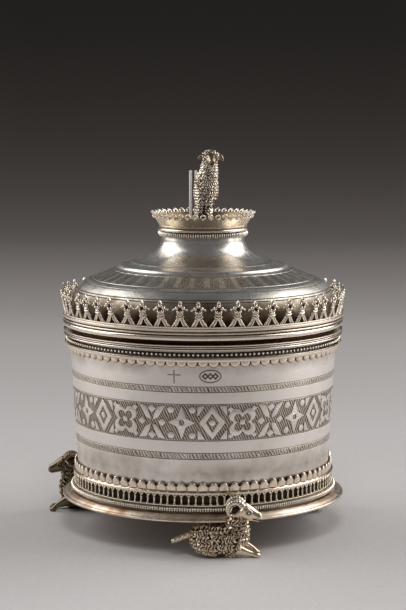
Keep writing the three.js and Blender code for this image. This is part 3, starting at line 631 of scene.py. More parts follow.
# Painted shade: near-black for the channels behind the wires and pearls, the fleurons' eyes, and
# the dark hollows of the rams' and lamb's faces.
painted_shade_dark = old_silver(
    "Channel dark", (0.07, 0.055, 0.04), PAINTED_SHADE_BLACK, cloud=0.6, rough=(0.4, 0.6))
pearl_silver = old_silver(
    "Pearl silver", (0.99, 0.905, 0.78), DARK_BROWN, hollow=0.5, reach=0.4, base=-0.1,
    rough=(0.16, 0.3), grain=0.1)
ram_silver = old_silver(
    "Ram silver", (0.87, 0.72, 0.54), (0.13, 0.085, 0.05), hollow=0.8, reach=0.6, cloud=0.7,
    rough=(0.16, 0.32), lock=True)
horn_silver = old_silver(
    "Horn silver", (0.83, 0.73, 0.60), DARK_BROWN, hollow=1.6, reach=0.5, cloud=0.4, base=-0.05,
    rough=(0.16, 0.3), grain=0.1)
# Painted shade: the left ram's silver is darkened because little light falls on it.
painted_shade_ram_silver = old_silver(
    "Dark ram silver", (0.21, 0.16, 0.11), (0.04, 0.028, 0.02), hollow=0.8, reach=0.6, cloud=0.9,
    rough=(0.16, 0.32), lock=True)
# The lamb's bare head, ears and lower forelegs are darkened as painted shade.
lamb_silver = old_silver(
    "Lamb silver", (0.96, 0.86, 0.72), (0.20, 0.13, 0.07), hollow=0.8, reach=0.6, cloud=1.5,
    rough=(0.14, 0.3), lock=True, bare=0.8)
staff_silver = old_silver(
    "Staff silver", (0.97, 0.93, 0.87), BROWN, hollow=0.5, reach=0.5, cloud=0.4, base=-0.3,
    rough=(0.4, 0.5), grain=0.1, metal=0.25)
plinth_silver = old_silver(
    "Plinth silver", (0.80, 0.72, 0.61), DARK_BROWN, hollow=1.2, cloud=1.0, base=0.2,
    rough=(0.2, 0.34))


def settle(piece, body, node):
    """Gives a finished piece its body, and hides the model's node that it stands for."""
    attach(piece, body)
    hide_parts(node)


def dress(piece, material):
    piece.data.materials.clear()
    piece.data.materials.append(material)
    return piece


def lined(piece, material):
    """Gives the faces that look towards the axis a finish of their own."""
    piece.data.materials.append(material)
    last = len(piece.data.materials) - 1
    for face in piece.data.polygons:
        if face.normal.x * face.center.x + face.normal.y * face.center.y < 0:
            face.material_index = last
    return piece


def ring_part(name, material, outline, soft, sides=240):
    """A turned ring with softened corners."""
    return dress(turned(name, softened(outline, soft), sides), material)


def turned_piece(node, body, material, outline, soft, sides=240):
    settle(ring_part(node + "_turned", material, outline, soft, sides), body, node)


def with_grooves(line, heights, half=0.17, depth=0.13):
    """Cuts small V grooves into an outline that rises, at the given heights."""
    line = [Vector(p) for p in line]
    for height in heights:
        for i in range(len(line) - 1):
            a, b = line[i], line[i + 1]
            if a.y <= height < b.y:
                along = (b - a).normalized()
                spot = a.lerp(b, (height - a.y) / (b.y - a.y))
                inward = Vector((-along.y, along.x))
                start, end = spot - along * half, spot + along * half
                kept = [p for p in line[:i + 1] if p.y < start.y]
                rest = [p for p in line[i + 1:] if p.y > end.y]
                line = kept + [start, spot + inward * depth, end] + rest
                break
    return [tuple(p) for p in line]


# Box: flange, wall and floor
turned_piece("base_flange", "box", foot_silver, [
    (47.9, PLATE_H), (LIP_INSIDE_R, PLATE_H), (54.75, LIP_H), (LIP_R, LIP_H), (LIP_R, 14.35),
    (54.9, 14.75), (54.55, 14.75), (53.9, 15.3), (52.9, 16.0), (52.5, 16.1), (47.9, 16.1)], 0.18)
wall_outside = with_grooves([(WALL_FOOT_R, WALL_FOOT_H), (WALL_TOP_R, WALL_TOP_H)], WALL_LINES)
wall = turned("body_wall_turned", wall_outside + [(51.4, WALL_TOP_H), (48.0, WALL_FOOT_H)], 288)
# The wall's inner faces take the inside's painted shade.
lined(dress(wall, wall_silver), inner_painted_shade)
turned_piece("body_floor", "box", underside_silver, oblong(0, 16.1, 47.7, 17.1), 0.1)

# Box: ornaments of the frieze, in flat relief on the hatched ground, each about 13 mm high
CORNERS = [(sx, sz) for sx in (-1, 1) for sz in (-1, 1)]


def petals(count, inner, outer, steps=7):
    """The outline of a flower of pointed petals."""
    points = []
    for i in range(count * steps):
        a = 2 * math.pi * i / (count * steps)
        r = inner + (outer - inner) * math.sin(math.pi * (i % steps) / steps) ** 0.8
        points.append((r * math.cos(a), r * math.sin(a)))
    return points


def ornament(kind):
    relief, edge = 0.44, 0.16
    if kind == "lozenge":
        parts = [[[(0, 6.4), (-4.9, 0), (0, -6.4), (4.9, 0)],
                  [(0, 3.5), (2.4, 0), (0, -3.5), (-2.4, 0)]], [around(12, 1.25)]]
        corner = [(5.5, 6.3), (2.6, 6.3), (5.5, 2.3)]
        parts += [[[(x * sx, z * sz) for x, z in corner]] for sx, sz in CORNERS]
    elif kind == "quatrefoil":
        parts = [[petals(4, 3.5, 6.3), petals(4, 1.7, 3.9)[::-1]], [around(4, 1.4, 45)]]
        parts += [[around(4, 1.2, centre=(4.6 * sx, 5.0 * sz))] for sx, sz in CORNERS]
    elif kind == "saltire":
        leaf = [(0.4, 0.6), (2.4, 1.6), (5.4, 6.4), (2.2, 5.9), (0.7, 2.6)]
        parts = [[[(x * sx, z * sz) for x, z in leaf]] for sx, sz in CORNERS]
        parts += [[around(4, 1.7, centre=(0, z))] for z in (-5.0, 5.0)]
        parts += [[around(4, 1.6, centre=(x, 0))] for x in (-4.0, 4.0)]
    else:
        star = []
        for k in range(8):
            a = math.pi * k / 4 + math.pi / 2
            r = (6.5 if k % 4 == 0 else 5.3) if k % 2 == 0 else 2.4
            star.append((r * math.cos(a), r * math.sin(a)))
        parts = [[star, around(10, 1.0)[::-1]]]
        parts += [[around(8, 1.35, centre=(4.0 * sx, 4.8 * sz))] for sx, sz in CORNERS]
    plates = [plate("ornament_part", outlines, relief, edge) for outlines in parts]
    return joined("ornament_" + kind, plates)


WALL_SLOPE = (WALL_TOP_R - WALL_FOOT_R) / (WALL_TOP_H - WALL_FOOT_H)
KINDS = ["lozenge", "quatrefoil", "saltire", "star"]
FRIEZE_MIDDLE = 50.2
frieze = joined("frieze_ornaments", [
    ring_of("frieze_" + kind, ornament(kind), 7, wall_radius(FRIEZE_MIDDLE), FRIEZE_MIDDLE,
            ornament_silver, first=-90 + 360 / 28 * (i + 0.3), slope=WALL_SLOPE, turn=0.02, seed=i)
    for i, kind in enumerate(KINDS)])


def engraved_mark(name, drawing, height, angle):
    return ring_of(name, drawing, 1, wall_radius(height), height, engraving_dark, first=angle,
                   slope=WALL_SLOPE)


CARTOUCHE_H, CARTOUCHE_ANGLE = 67.7, -87.0
cartouche = engraved_mark("cartouche", plate("oval_line", [
    around(40, 4.1, flatten=0.6), around(40, 3.75, flatten=0.57)[::-1]], 0.12, 0.03),
    CARTOUCHE_H, CARTOUCHE_ANGLE)
stamp = engraved_mark("stamp_relief", joined("stamp", [
    plate("stamp_part", [around(4, 1.3, centre=(x, 0)), around(4, 0.6, centre=(x, 0))[::-1]],
          0.14, 0.03) for x in (-1.9, 0, 1.9)]), CARTOUCHE_H, CARTOUCHE_ANGLE)
arms = [(-0.16, -2.5), (0.16, -2.5), (0.16, 0.6), (2.5, 0.6), (2.5, 0.9), (0.16, 0.9), (0.16, 2.5),
        (-0.16, 2.5), (-0.16, 0.9), (-2.5, 0.9), (-2.5, 0.6), (-0.16, 0.6)]
small_cross = engraved_mark("small_cross", plate("cross", [arms], 0.1, 0.02), 67.4, -101.9)
wall = joined("body_wall_turned", [wall, frieze, cartouche, stamp, small_cross])
settle(wall, "box", "body_wall")


# Box: milled wire, gallery, ledge and tongues round the foot
def milled_wire(node, body, radius, height, thick, count):
    name = node + "_ribbed"
    core = turned(name + "_core", around(10, thick * 0.34, centre=(radius, height)))
    pitch = 2 * math.pi * radius / count
    rib = ball("rib", (0, 0, 0), 1, 8, 6, (0.5 * pitch, 0.5 * thick, 0.48 * thick))
    ribs = ring_of(name + "_ribs", rib, count, radius, height, pearl_silver, turn=0.05, seed=3)
    # The core between the ribs is painted shade.
    settle(joined(name, [dress(core, painted_shade_dark), ribs]), body, node)


milled_wire("base_milled_wire", "box", 51.4, 17.4, 2.0, 340)

sill = ring_part("sill", gallery_gilt, oblong(50.35, 18.7, 51.0, 19.1), 0.08)
lintel = ring_part("lintel", gallery_gilt, oblong(50.35, 22.95, 50.95, 23.38), 0.1)
column = joined("column", [
    rod("shaft", [(0, 0, z) for z in (0.3, 0.75, 1.0, 2.45, 2.7, 2.95, 3.6)],
        [0.56, 0.5, 0.36, 0.33, 0.48, 0.34, 0.36], 8),
    *[rod("arm", [(0, 0, 3.3), (0.32 * side, 0, 3.75), (0.8 * side, 0, 4.2)],
          [0.27, 0.26, 0.22], 6, 0.8) for side in (-1, 1)]])
columns = ring_of("columns", column, 120, 50.65, 18.7, gallery_gilt, turn=0.05, shift=0.08,
                  lean=0.03, seed=5)
gallery = joined("base_gallery_pierced", [sill, lintel, columns])
settle(gallery, "box", "base_gallery")

turned_piece("gallery_ledge", "box", rim_silver, [
    (49.8, 23.4), (51.3, 23.4), (51.3, 23.8), *bulge(51.25, 23.85, 50.45, 24.4, -0.12, 6),
    (50.2, 24.5), (50.2, 25.3), (49.75, 25.3)], 0.08)


def tongue(name, width, height, point, thick, dome, across=7, rows=7):
    """A domed scale that stands on z = 0; point makes its tip sharper."""
    points, faces = [], []
    for i in range(rows + 1):
        v = i / rows
        half = width / 2 * max(1 - v ** 2.4, 0.02) ** (0.42 + 0.4 * point)
        for k in range(across + 1):
            u = 2 * k / across - 1
            swell = dome * (max(1 - u * u, 0) * (1 - v ** 4)) ** 0.5
            points.append(Vector((u * half, -thick * 0.35 - swell, v * height)) * MM)
    for i in range(rows):
        for k in range(across):
            a = i * (across + 1) + k
            faces.append([a, a + 1, a + across + 2, a + across + 1])
    border = [(0, k) for k in range(across + 1)] + [(i, across) for i in range(1, rows + 1)]
    border += [(rows, k) for k in range(across - 1, -1, -1)]
    border += [(i, 0) for i in range(rows - 1, 0, -1)]
    rim = [i * (across + 1) + k for i, k in border]
    back = len(points)
    points += [Vector((points[p].x, thick * 0.5 * MM, points[p].z)) for p in rim]
    for i in range(len(rim)):
        n = (i + 1) % len(rim)
        faces.append([rim[n], rim[i], back + i, back + n])
    faces.append([back + i for i in range(len(rim) - 1, -1, -1)])
    return new_piece(name, mesh_from(name, points, faces, 50))


scale_band = ring_part("scale_band", tongue_silver, [
    (49.75, 25.3), (50.25, 25.3), (50.27, 25.85), (49.77, 25.85)], 0.08)
scales = ring_of("scales", tongue("scale", 3.55, 3.2, 0.6, 0.4, 0.3), 80, 50.3, 24.45,
                 tongue_silver, slope=WALL_SLOPE, turn=0.05, shift=0.1, size=0.04, seed=7)
settle(joined("base_scallop_tongues", [scale_band, scales]), "box", "base_scallop_band")

# Box: pendant tongues, moulding, pearls, cap ring and bezel round the mouth
pendant = tongue("pendant", 3.55, 1.95, 0.35, 0.36, 0.4)
pendant.data.transform(Matrix.Rotation(math.pi, 4, "Y"))
pendants = ring_of("pendants", pendant, 83, 52.55, 73.15, tongue_silver, slope=WALL_SLOPE,
                   turn=0.04, shift=0.08, size=0.03, seed=9)
settle(pendants, "box", "rim_scallop_band")

turned_piece("rim_lower_moulding", "box", rim_silver, [
    (52.6, 73.2), (53.8, 73.2), *bulge(53.9, 73.25, 54.15, 74.35, 0.2, 6), (54.2, 74.7),
    (52.6, 74.7)], 0.1)

# The channel behind the pearls is painted shade.
pearl_core = turned("pearl_core", around(8, 0.4, centre=(53.05, 75.8), flatten=1.75))
pearls = ring_of("pearls", ball("pearl", (0, 0, 0), 0.5, 8, 6), 192, 53.42, 75.8, pearl_silver,
                 shift=0.06, size=0.06, seed=11)
settle(joined("rim_pearls", [dress(pearl_core, painted_shade_dark), pearls]), "box",
       "rim_pearl_wire")

turned_piece("rim_cap_ring", "box", rim_silver, [
    (51.0, 77.4), (54.3, 77.4), *bulge(54.3, 77.42, 54.3, 78.05, 0.3, 6), (54.05, 78.1),
    *bulge(54.2, 78.2, 54.2, 78.75, 0.3, 6), (54.0, 78.8), (54.0, 78.95), (54.6, 79.0),
    (54.65, 79.4), (54.45, 79.5), (51.0, 79.5)], 0.06)
# The bezel takes the inside's painted shade, dark in the gap under the lid.
turned_piece("body_bezel", "box", inner_painted_shade, oblong(49.79, 70.0, 50.69, 89.7), 0.2)

# Lid: rim and shell
turned_piece("lid_rim", "lid", rim_silver, [
    (52.25, 81.1), (54.1, 81.1), *bulge(54.25, 81.12, 54.3, 83.0, 0.6, 10), (54.05, 83.05),
    (54.05, 83.25), *bulge(54.35, 83.3, 54.35, 84.1, 0.42, 6), (54.05, 84.15), (54.05, 84.55),
    (54.95, 84.65), (55.0, 85.45), (54.8, 85.6), (52.25, 85.6)], 0.07)

SHOULDER = [(51.94, 90.0), (50.64, 96.0), (45.54, 98.4)]
NECK = [(26.8, 105.4), (18.5, 107.6), (16.4, 111.0), (16.3, 114.5)]
SHELL_SHEET = 0.9


def bezier(points, steps):
    line = []
    for i in range(steps + 1):
        t, level = i / steps, [Vector(p) for p in points]
        while len(level) > 1:
            level = [a.lerp(b, t) for a, b in zip(level, level[1:])]
        line.append(tuple(level[0]))
    return line


def inside_of(line, sheet):
    points = [Vector(p) for p in line]
    result = []
    for i, point in enumerate(points):
        along = (points[min(i + 2, len(points) - 1)] - points[max(i - 2, 0)]).normalized()
        result.append(tuple(point - Vector((along.y, -along.x)) * sheet))
    return result


shell_outside = with_grooves([
    (51.94, 81.4), *bezier(SHOULDER, 16), (39.5, 100.8), (33.2, 103.2),
    *bulge(33.1, 103.25, 32.2, 104.15, 0.22, 5), (31.6, 104.35), (28.3, 104.95),
    *bulge(28.1, 105.0, 27.0, 105.4, 0.18, 5), *bezier(NECK, 16), (15.95, 115.6), (15.9, 118.3),
], [94.6, 95.5, 98.0, 99.2, 102.4], 0.2, 0.12)
shell_inside = inside_of([
    (51.94, 81.4), *bezier(SHOULDER, 8), (33.0, 103.3), (31.8, 104.2), (27.4, 105.2),
    *bezier(NECK, 8), (15.9, 115.9), (15.9, 118.3)], SHELL_SHEET)
dome = turned("lid_dome_turned", shell_outside + shell_inside[::-1], 288, 30)
# The dome's inner faces take the inside's painted shade.
settle(lined(dress(dome, lid_silver), inner_painted_shade), "lid", "lid_dome")

# Lid: cresting of fleurons, each 10.3 mm high on its strip
parts = []
for side in (-1, 1):
    for gap in (-0.48, 0.48):
        parts.append(rod("leg", [
            (side * (2.4 + gap), 0.1, 0.4), (side * (1.95 + gap), 0, 1.1),
            (side * (1.25 + gap * 0.9), -0.05, 2.2), (side * (0.68 + gap * 0.6), 0, 3.5),
        ], [0.44, 0.4, 0.38, 0.34], 8))
    parts += [
        rod("toe", [(side * 2.95, 0.1, 0.5), (side * 2.4, 0, 0.35), (side * 1.9, 0.1, 0.5)],
            [0.3, 0.36, 0.3], 8),
        rod("arm", [(side * 1.2, 0.1, 7.1), (side * 1.7, 0, 7.25), (side * 2.1, -0.1, 7.15),
                    (side * 2.4, 0, 6.9)], [0.42, 0.32, 0.29, 0.27], 8),
        ball("arm_knob", (side * 2.5, -0.05, 6.8), 0.38, 8, 6)]
for height, reach in ((3.95, 1.3), (4.85, 0.95)):
    parts.append(rod("crescent", [
        (share * reach, depth, height + rise) for share, depth, rise in (
            (-1, 0, 0.6), (-0.75, -0.15, 0.15), (0, -0.3, -0.1), (0.75, -0.15, 0.15), (1, 0, 0.6))
    ], [0.28, 0.42, 0.48, 0.42, 0.28], 8))
parts.append(rod("neck", [(0, 0, 3.0), (0, 0, 4.4), (0, 0, 5.9)], [0.55, 0.5, 0.5], 8))
parts += [ball("petal", (x, -0.1, z), 0.72, 10, 7) for x, z in around(5, 1.2, 90, (0, 7.1))]
leaf_side = [(0, 8.2), (0.6, 8.3), (0.82, 8.75), (0.66, 9.4), (0.36, 10.0), (0, 10.3)]
slit_side = [(0, 8.45), (0.26, 8.6), (0.28, 8.9), (0.18, 9.3), (0, 9.55)]


def mirrored(side):
    return [*side, *[(-x, z) for x, z in side[-2:0:-1]]]


parts.append(plate("leaf", [mirrored(leaf_side), mirrored(slit_side)[::-1]], 0.8, 0.2))
CREST = dict(count=49, radius=54.0, height=85.6, first=-91.5, slope=0.125, turn=0.07, lean=0.04,
             shift=0.22, size=0.025, seed=13)
fleurons = ring_of("fleurons", joined("fleuron", parts), material=crest_silver, **CREST)
# The fleurons' eyes are dark balls of painted shade.
eyes = ring_of("fleuron_eyes", ball("eye", (0, -0.25, 7.1), 0.7, 10, 7, (1, 0.55, 1)),
               material=painted_shade_dark, **CREST)
strip = ring_part("crest_strip", crest_silver, [
    (54.05, 85.6), (54.8, 85.6), (54.88, 86.3), (54.13, 86.3)], 0.15)
settle(joined("lid_cresting_fleurons", [strip, fleurons, eyes]), "lid", "lid_cresting")

# Lid: neck wires, coronet and its floor
milled_wire("neck_milled_wire", "lid", 16.7, 116.35, 2.1, 116)
collar = turned("neck_collar_turned", around(18, 0.75, centre=(16.85, 118.05),
                                             flatten=0.68 / 0.75), 144)
settle(dress(collar, rim_silver), "lid", "neck_collar")

coronet_wall = ring_part("coronet_wall", coronet_gilt, [
    (16.4, 118.8), (17.1, 118.8), (17.35, 119.5), (17.2, 119.7), (17.6, 120.4), (18.6, 122.0),
    (19.35, 123.1), (18.85, 123.3), (17.9, 121.9), (16.9, 120.3)], 0.12, 144)
hoop = [(0.82 * math.cos(math.radians(a)), 0, 0.85 + 0.82 * math.sin(math.radians(a)))
        for a in range(-70, 251, 32)]
loop = joined("loop", [rod("hoop", hoop, [0.33] * len(hoop), 7),
                       ball("tip", (0, -0.1, 1.75), 0.42, 8, 6),
                       ball("foot", (0, -0.25, 0.1), 0.5, 8, 6)])
loops = ring_of("loops", loop, 42, 19.0, 122.75, crest_silver, slope=0.5, turn=0.06, lean=0.1,
                size=0.05, seed=15)
# The coronet wall's inner faces take painted shade.
coronet = joined("coronet_fringed", [lined(coronet_wall, coronet_painted_shade), loops])
settle(coronet, "lid", "coronet")
turned_piece("coronet_floor", "lid", coronet_painted_shade, oblong(1.8, 118.3, 16.05, 119.1), 0.1,
             144)


# Figures: rams and lamb
LOFT_SIDES, BLUNTNESS = 24, 0.6


def loft(sections, upward=(0, 0, 1)):
    """A smooth tube through the sections, with blunt ends."""
    stations = curve_through(sections)
    tips = [min(stations[end][3:]) * BLUNTNESS for end in (0, -1)]
    return tube(stations, LOFT_SIDES, tips, upward)


def skin_of(name, bodies, voxel, turn):
    """One skin over several lofts. bodies holds (loft, wool); the point attribute wool tells
    where fleece grows, and turn places the skin in the frame."""
    shells, points, faces = [], [], []
    for (body_points, body_faces), wool in bodies:
        shift = len(points)
        shells.append((BVHTree.FromPolygons(body_points, body_faces), wool))
        points += body_points
        faces += [[shift + i for i in face] for face in body_faces]
    holder = new_piece(name, mesh_from(name, [p * MM for p in points], faces))
    remesh = holder.modifiers.new("Skin", "REMESH")
    remesh.mode = "VOXEL"
    remesh.voxel_size = voxel * MM
    mesh = plain_mesh(holder)
    work = bmesh.new()
    work.from_mesh(mesh)
    for _ in range(2):
        bmesh.ops.smooth_vert(work, verts=work.verts, factor=0.5,
                              use_axis_x=True, use_axis_y=True, use_axis_z=True)
    work.to_mesh(mesh)
    work.free()
    wool = mesh.attributes.new("wool", "FLOAT", "POINT")
    for i, vertex in enumerate(mesh.vertices):
        spot = vertex.co / MM
        wool.data[i].value = min((tree.find_nearest(spot)[3], w) for tree, w in shells)[1]
    mesh.transform(turn)
    mesh.shade_smooth()
    return new_piece(name, mesh)


def fleeced(name, skin, material, heading, pitch, height, wave_pitch, wave_depth, breaks, seed):
    return grown(name, fleece_growth, {
        "Lock Pitch": pitch * MM, "Lock Height": height * MM, "Wave Pitch": wave_pitch * MM,
        "Wave Depth": wave_depth * MM, "Break Scale": breaks, "Heading": heading, "Seed": seed,
        "Material": material,
    }, start=skin)


def both_sides(sections_of):
    return [loft(sections_of(side)) for side in (-1, 1)]


TAIL = [(-8.0, 0, 8.8, 1.5, 1.5), (-11.3, -0.2, 8.7, 1.35, 1.35), (-14.4, -0.5, 7.7, 1.2, 1.2),
        (-17.2, -0.8, 6.6, 1.0, 1.0), (-18.8, -1.0, 6.1, 0.7, 0.7)]


def ram_bodies():
    """A ram that heads along +X with its hooves on z = 0, in millimetres."""
    body = loft([
        (-10.9, 0, 6.2, 2.8, 3.4), (-9.8, 0, 6.4, 4.1, 4.9), (-6.5, 0, 6.8, 4.8, 5.7),
        (-1, 0, 7.2, 5.0, 6.3), (4.5, -0.3, 7.3, 4.8, 6.4), (7.4, -0.8, 7.4, 4.1, 6.0),
        (8.4, -1.2, 7.2, 2.4, 4.2)])
    neck = loft([
        (4.8, -0.5, 8.5, 4.4, 4.4), (5.4, -2.2, 13.8, 3.7, 3.8), (5.6, -3.6, 17.8, 2.6, 3.1),
        (5.6, -4.1, 20.6, 2.0, 2.4), (6.0, -4.3, 21.9, 1.3, 1.5)], (-1, 0, 0))
    head = loft([
        (5.4, -4.1, 20.4, 1.5, 1.5), (7.0, -4.3, 18.9, 2.2, 3.0), (9.2, -4.5, 17.8, 2.25, 2.8),
        (11.0, -4.65, 16.9, 1.85, 2.4), (12.5, -4.8, 16.3, 1.65, 2.0),
        (13.5, -4.95, 15.9, 1.6, 1.85), (14.0, -5.0, 15.75, 1.35, 1.5)])
    haunches = both_sides(lambda s: [
        (-9.3, 3.3 * s, 5.0, 0.9, 1.5), (-7.2, 3.9 * s, 5.3, 1.9, 3.2),
        (-3.9, 4.2 * s, 5.3, 2.1, 3.4), (-0.9, 4.2 * s, 4.6, 1.5, 2.4),
        (0.9, 4.1 * s, 4.0, 0.9, 1.2)])
    elbow = loft([
        (1.0, -1.6, 1.6, 0.6, 0.8), (3.2, -1.8, 1.9, 1.9, 1.7), (6.2, -1.4, 2.4, 1.8, 1.9)])
    hind_feet = both_sides(lambda s: [
        (-7.2, 0.3 + 2.4 * s, 2.6, 1.2, 1.3), (-5.2, 0.3 + 1.9 * s, 1.2, 1.1, 1.1),
        (-3.4, 0.3 + 1.5 * s, 0.7, 1.1, 1.0), (-2.3, 0.3 + 1.4 * s, 0.6, 0.8, 0.8)])
    forelegs = both_sides(lambda s: [
        (5.5, 0.6 + 2.6 * s, 4.2 + s, 1.9, 2.2), (8.8, 0.7 + 2.6 * s, 2.9 + 0.9 * s, 1.4, 1.5),
        (11.3, 0.8 + 2.6 * s, 1.8 + 0.5 * s, 0.95, 1.05), (12.7, 0.8 + 2.6 * s, 0.9, 1.3, 1.15),
        (13.8, 0.8 + 2.5 * s, 0.7, 0.9, 0.9)])
    ears = both_sides(lambda s: [
        (7.2, -4.2 + 1.6 * s, 19.5, 0.7, 0.7), (6.2, -4.1 + 3.4 * s, 18.5, 0.6, 0.9),
        (5.0, -4.0 + 4.6 * s, 17.4, 0.3, 0.3)])
    fleece = [body, neck, *haunches, elbow]
    bare = [head, loft(TAIL), *hind_feet, *forelegs, *ears]
    return [(b, 1.0) for b in fleece] + [(b, 0.0) for b in bare]


# Each ram's azimuth, its distance out from the wall's foot, and how far it turns from tangent
RAMS = {"front": (-82, 3.1, 8), "left": (151, 7.0, 56), "back": (33, 4.6, 32)}
CLEARANCE = 0.25
EYE_X, EYE_H = 9.6, 18.0


def clear_of_flange(mesh):
    """Keeps a ram's skin on the table and off the flange's lip."""
    for vertex in mesh.vertices:
        vertex.co.z = max(vertex.co.z, TABLE)
        radius = math.hypot(vertex.co.x, vertex.co.y) / MM
        height = (vertex.co.z - TABLE) / MM
        ceiling = PLATE_H if radius < LIP_INSIDE_R else LIP_H
        if radius < LIP_R + CLEARANCE and height > ceiling - CLEARANCE:
            if height - ceiling < LIP_R - radius:
                vertex.co.z = up(ceiling - CLEARANCE)
            else:
                push = (LIP_R + CLEARANCE) / radius
                vertex.co.x *= push
                vertex.co.y *= push


def turned_by(degrees, axis):
    return Matrix.Rotation(math.radians(degrees), 4, axis)


def moved_by(*shift):
    return Matrix.Translation(Vector(shift) * MM)


for name, (azimuth, out, splay) in RAMS.items():
    turn = (Matrix.Translation((0, 0, TABLE)) @ turned_by(azimuth, "Z")
            @ moved_by(WALL_FOOT_R + out, 0, 0) @ turned_by(90 - splay, "Z"))
    heading = (turn.to_3x3() @ Vector((1, 0, 0))).normalized()
    # The left ram and its horns take the silver darkened as painted shade.
    woolly, smooth = (ram_silver, horn_silver) if name != "left" else (painted_shade_ram_silver,) * 2
    casting = fleeced("ram_casting", skin_of("ram_skin", ram_bodies(), 0.2, turn), woolly, heading,
                      pitch=1.3, height=0.95, wave_pitch=3.2, wave_depth=0.5, breaks=520.0,
                      seed=2.0)
    clear_of_flange(casting.data)
    bright, dark = [], []
    for s in (-1, 1):
        bright += [
            ball("eye_ball", (EYE_X, -4.5 + 2.0 * s, EYE_H), 0.7, 12, 8),
            rod("eyelid", [
                (EYE_X + 1.2 * math.cos(a), -4.5 + 2.2 * s, EYE_H + 1.05 * math.sin(a))
                for a in [math.radians(30 * k) for k in range(13)]], [0.28] * 13, 6),
            ball("nostril_wing", (14.0, -5.0 + 0.85 * s, 16.1), 0.42, 8, 6),
            rod("lip", [(14.3, -5.0 + 0.5 * s, 15.6), (13.6, -4.95 + 1.45 * s, 15.6),
                        (12.4, -4.8 + 1.5 * s, 15.9)], [0.28, 0.28, 0.2], 6),
            rod("brow", [(7.6, -4.4 + 1.9 * s, 20.1), (9.0, -4.45 + 1.9 * s, 19.7),
                         (10.4, -4.6 + 1.6 * s, 18.7)], [0.3, 0.42, 0.3], 6),
            ball("ear", (5.2, -4.35 + 3.1 * s, 17.5 + 0.1 * s), 1.9, 14, 9, (1, 0.32, 0.34))]
        # Painted shade: dark pieces in the eye sockets, along the mouth and in the ear hollows.
        dark += [
            ball("eye_socket", (EYE_X, -4.5 + 1.9 * s, EYE_H), 1.2, 14, 9, (1.1, 0.4, 0.95)),
            rod("mouth", [(14.4, -5.0 + 0.6 * s, 15.1), (13.6, -4.95 + 1.4 * s, 15.1),
                          (12.2, -4.8 + 1.45 * s, 15.35), (11.0, -4.65 + 1.65 * s, 15.6)],
                [0.2, 0.22, 0.22, 0.15], 6),
            ball("ear_hollow", (4.9, -4.35 + 2.2 * s, 18.9 + 0.2 * s), 1.7, 14, 9, (1, 0.35, 1))]
    for x, y, z, thick, _ in curve_through(TAIL)[5::4]:
        rib = ball("tail_rib", (0, 0, 0), thick + 0.55, 14, 9, (0.3, 1, 1))
        rib.data.transform(moved_by(x, y, z) @ turned_by(28, "Y"))
        bright.append(rib)
    details = [dress(piece, smooth) for piece in bright]
    details += [dress(piece, painted_shade_dark) for piece in dark]
    for detail in details:
        detail.data.transform(turn)
    casting = joined(f"ram_{name}_cast", [casting] + details)
    settle(casting, "box", f"ram_{name}")
    for word, s in (("inner", 1), ("outer", -1)):
        horn = grown(f"ram_{name}_horn_{word}_curled", horn_growth, {
            "Turns": 0.58, "Root Reach": 2.7 * MM, "Tip Reach": 3.0 * MM, "Side Drift": 0.35 * MM,
            "Root Thickness": 1.5 * MM, "Tip Thickness": 0.6 * MM, "Ribs": 11.0,
            "Rib Depth": 0.21, "Material": smooth})
        upright = Matrix.Scale(-s, 4, (0, 1, 0)) @ turned_by(90, "X") @ turned_by(22, "Z")
        horn.data.transform(turn @ moved_by(4.8, -4.35 + 2.6 * s, 19.3 + 0.15 * s) @ upright)
        facing_out(horn.data)
        horn.data.shade_smooth()
        settle(horn, "box", f"ram_{name}_horn_{word}")

# Lid: the lamb on its plinth, and its staff
PLINTH_FOOT, PLINTH_TOP = 119.1, 120.6
PLINTH_WIDTH, PLINTH_DEPTH = 14.8, 15.6
LAMB_UNIT = 0.2825


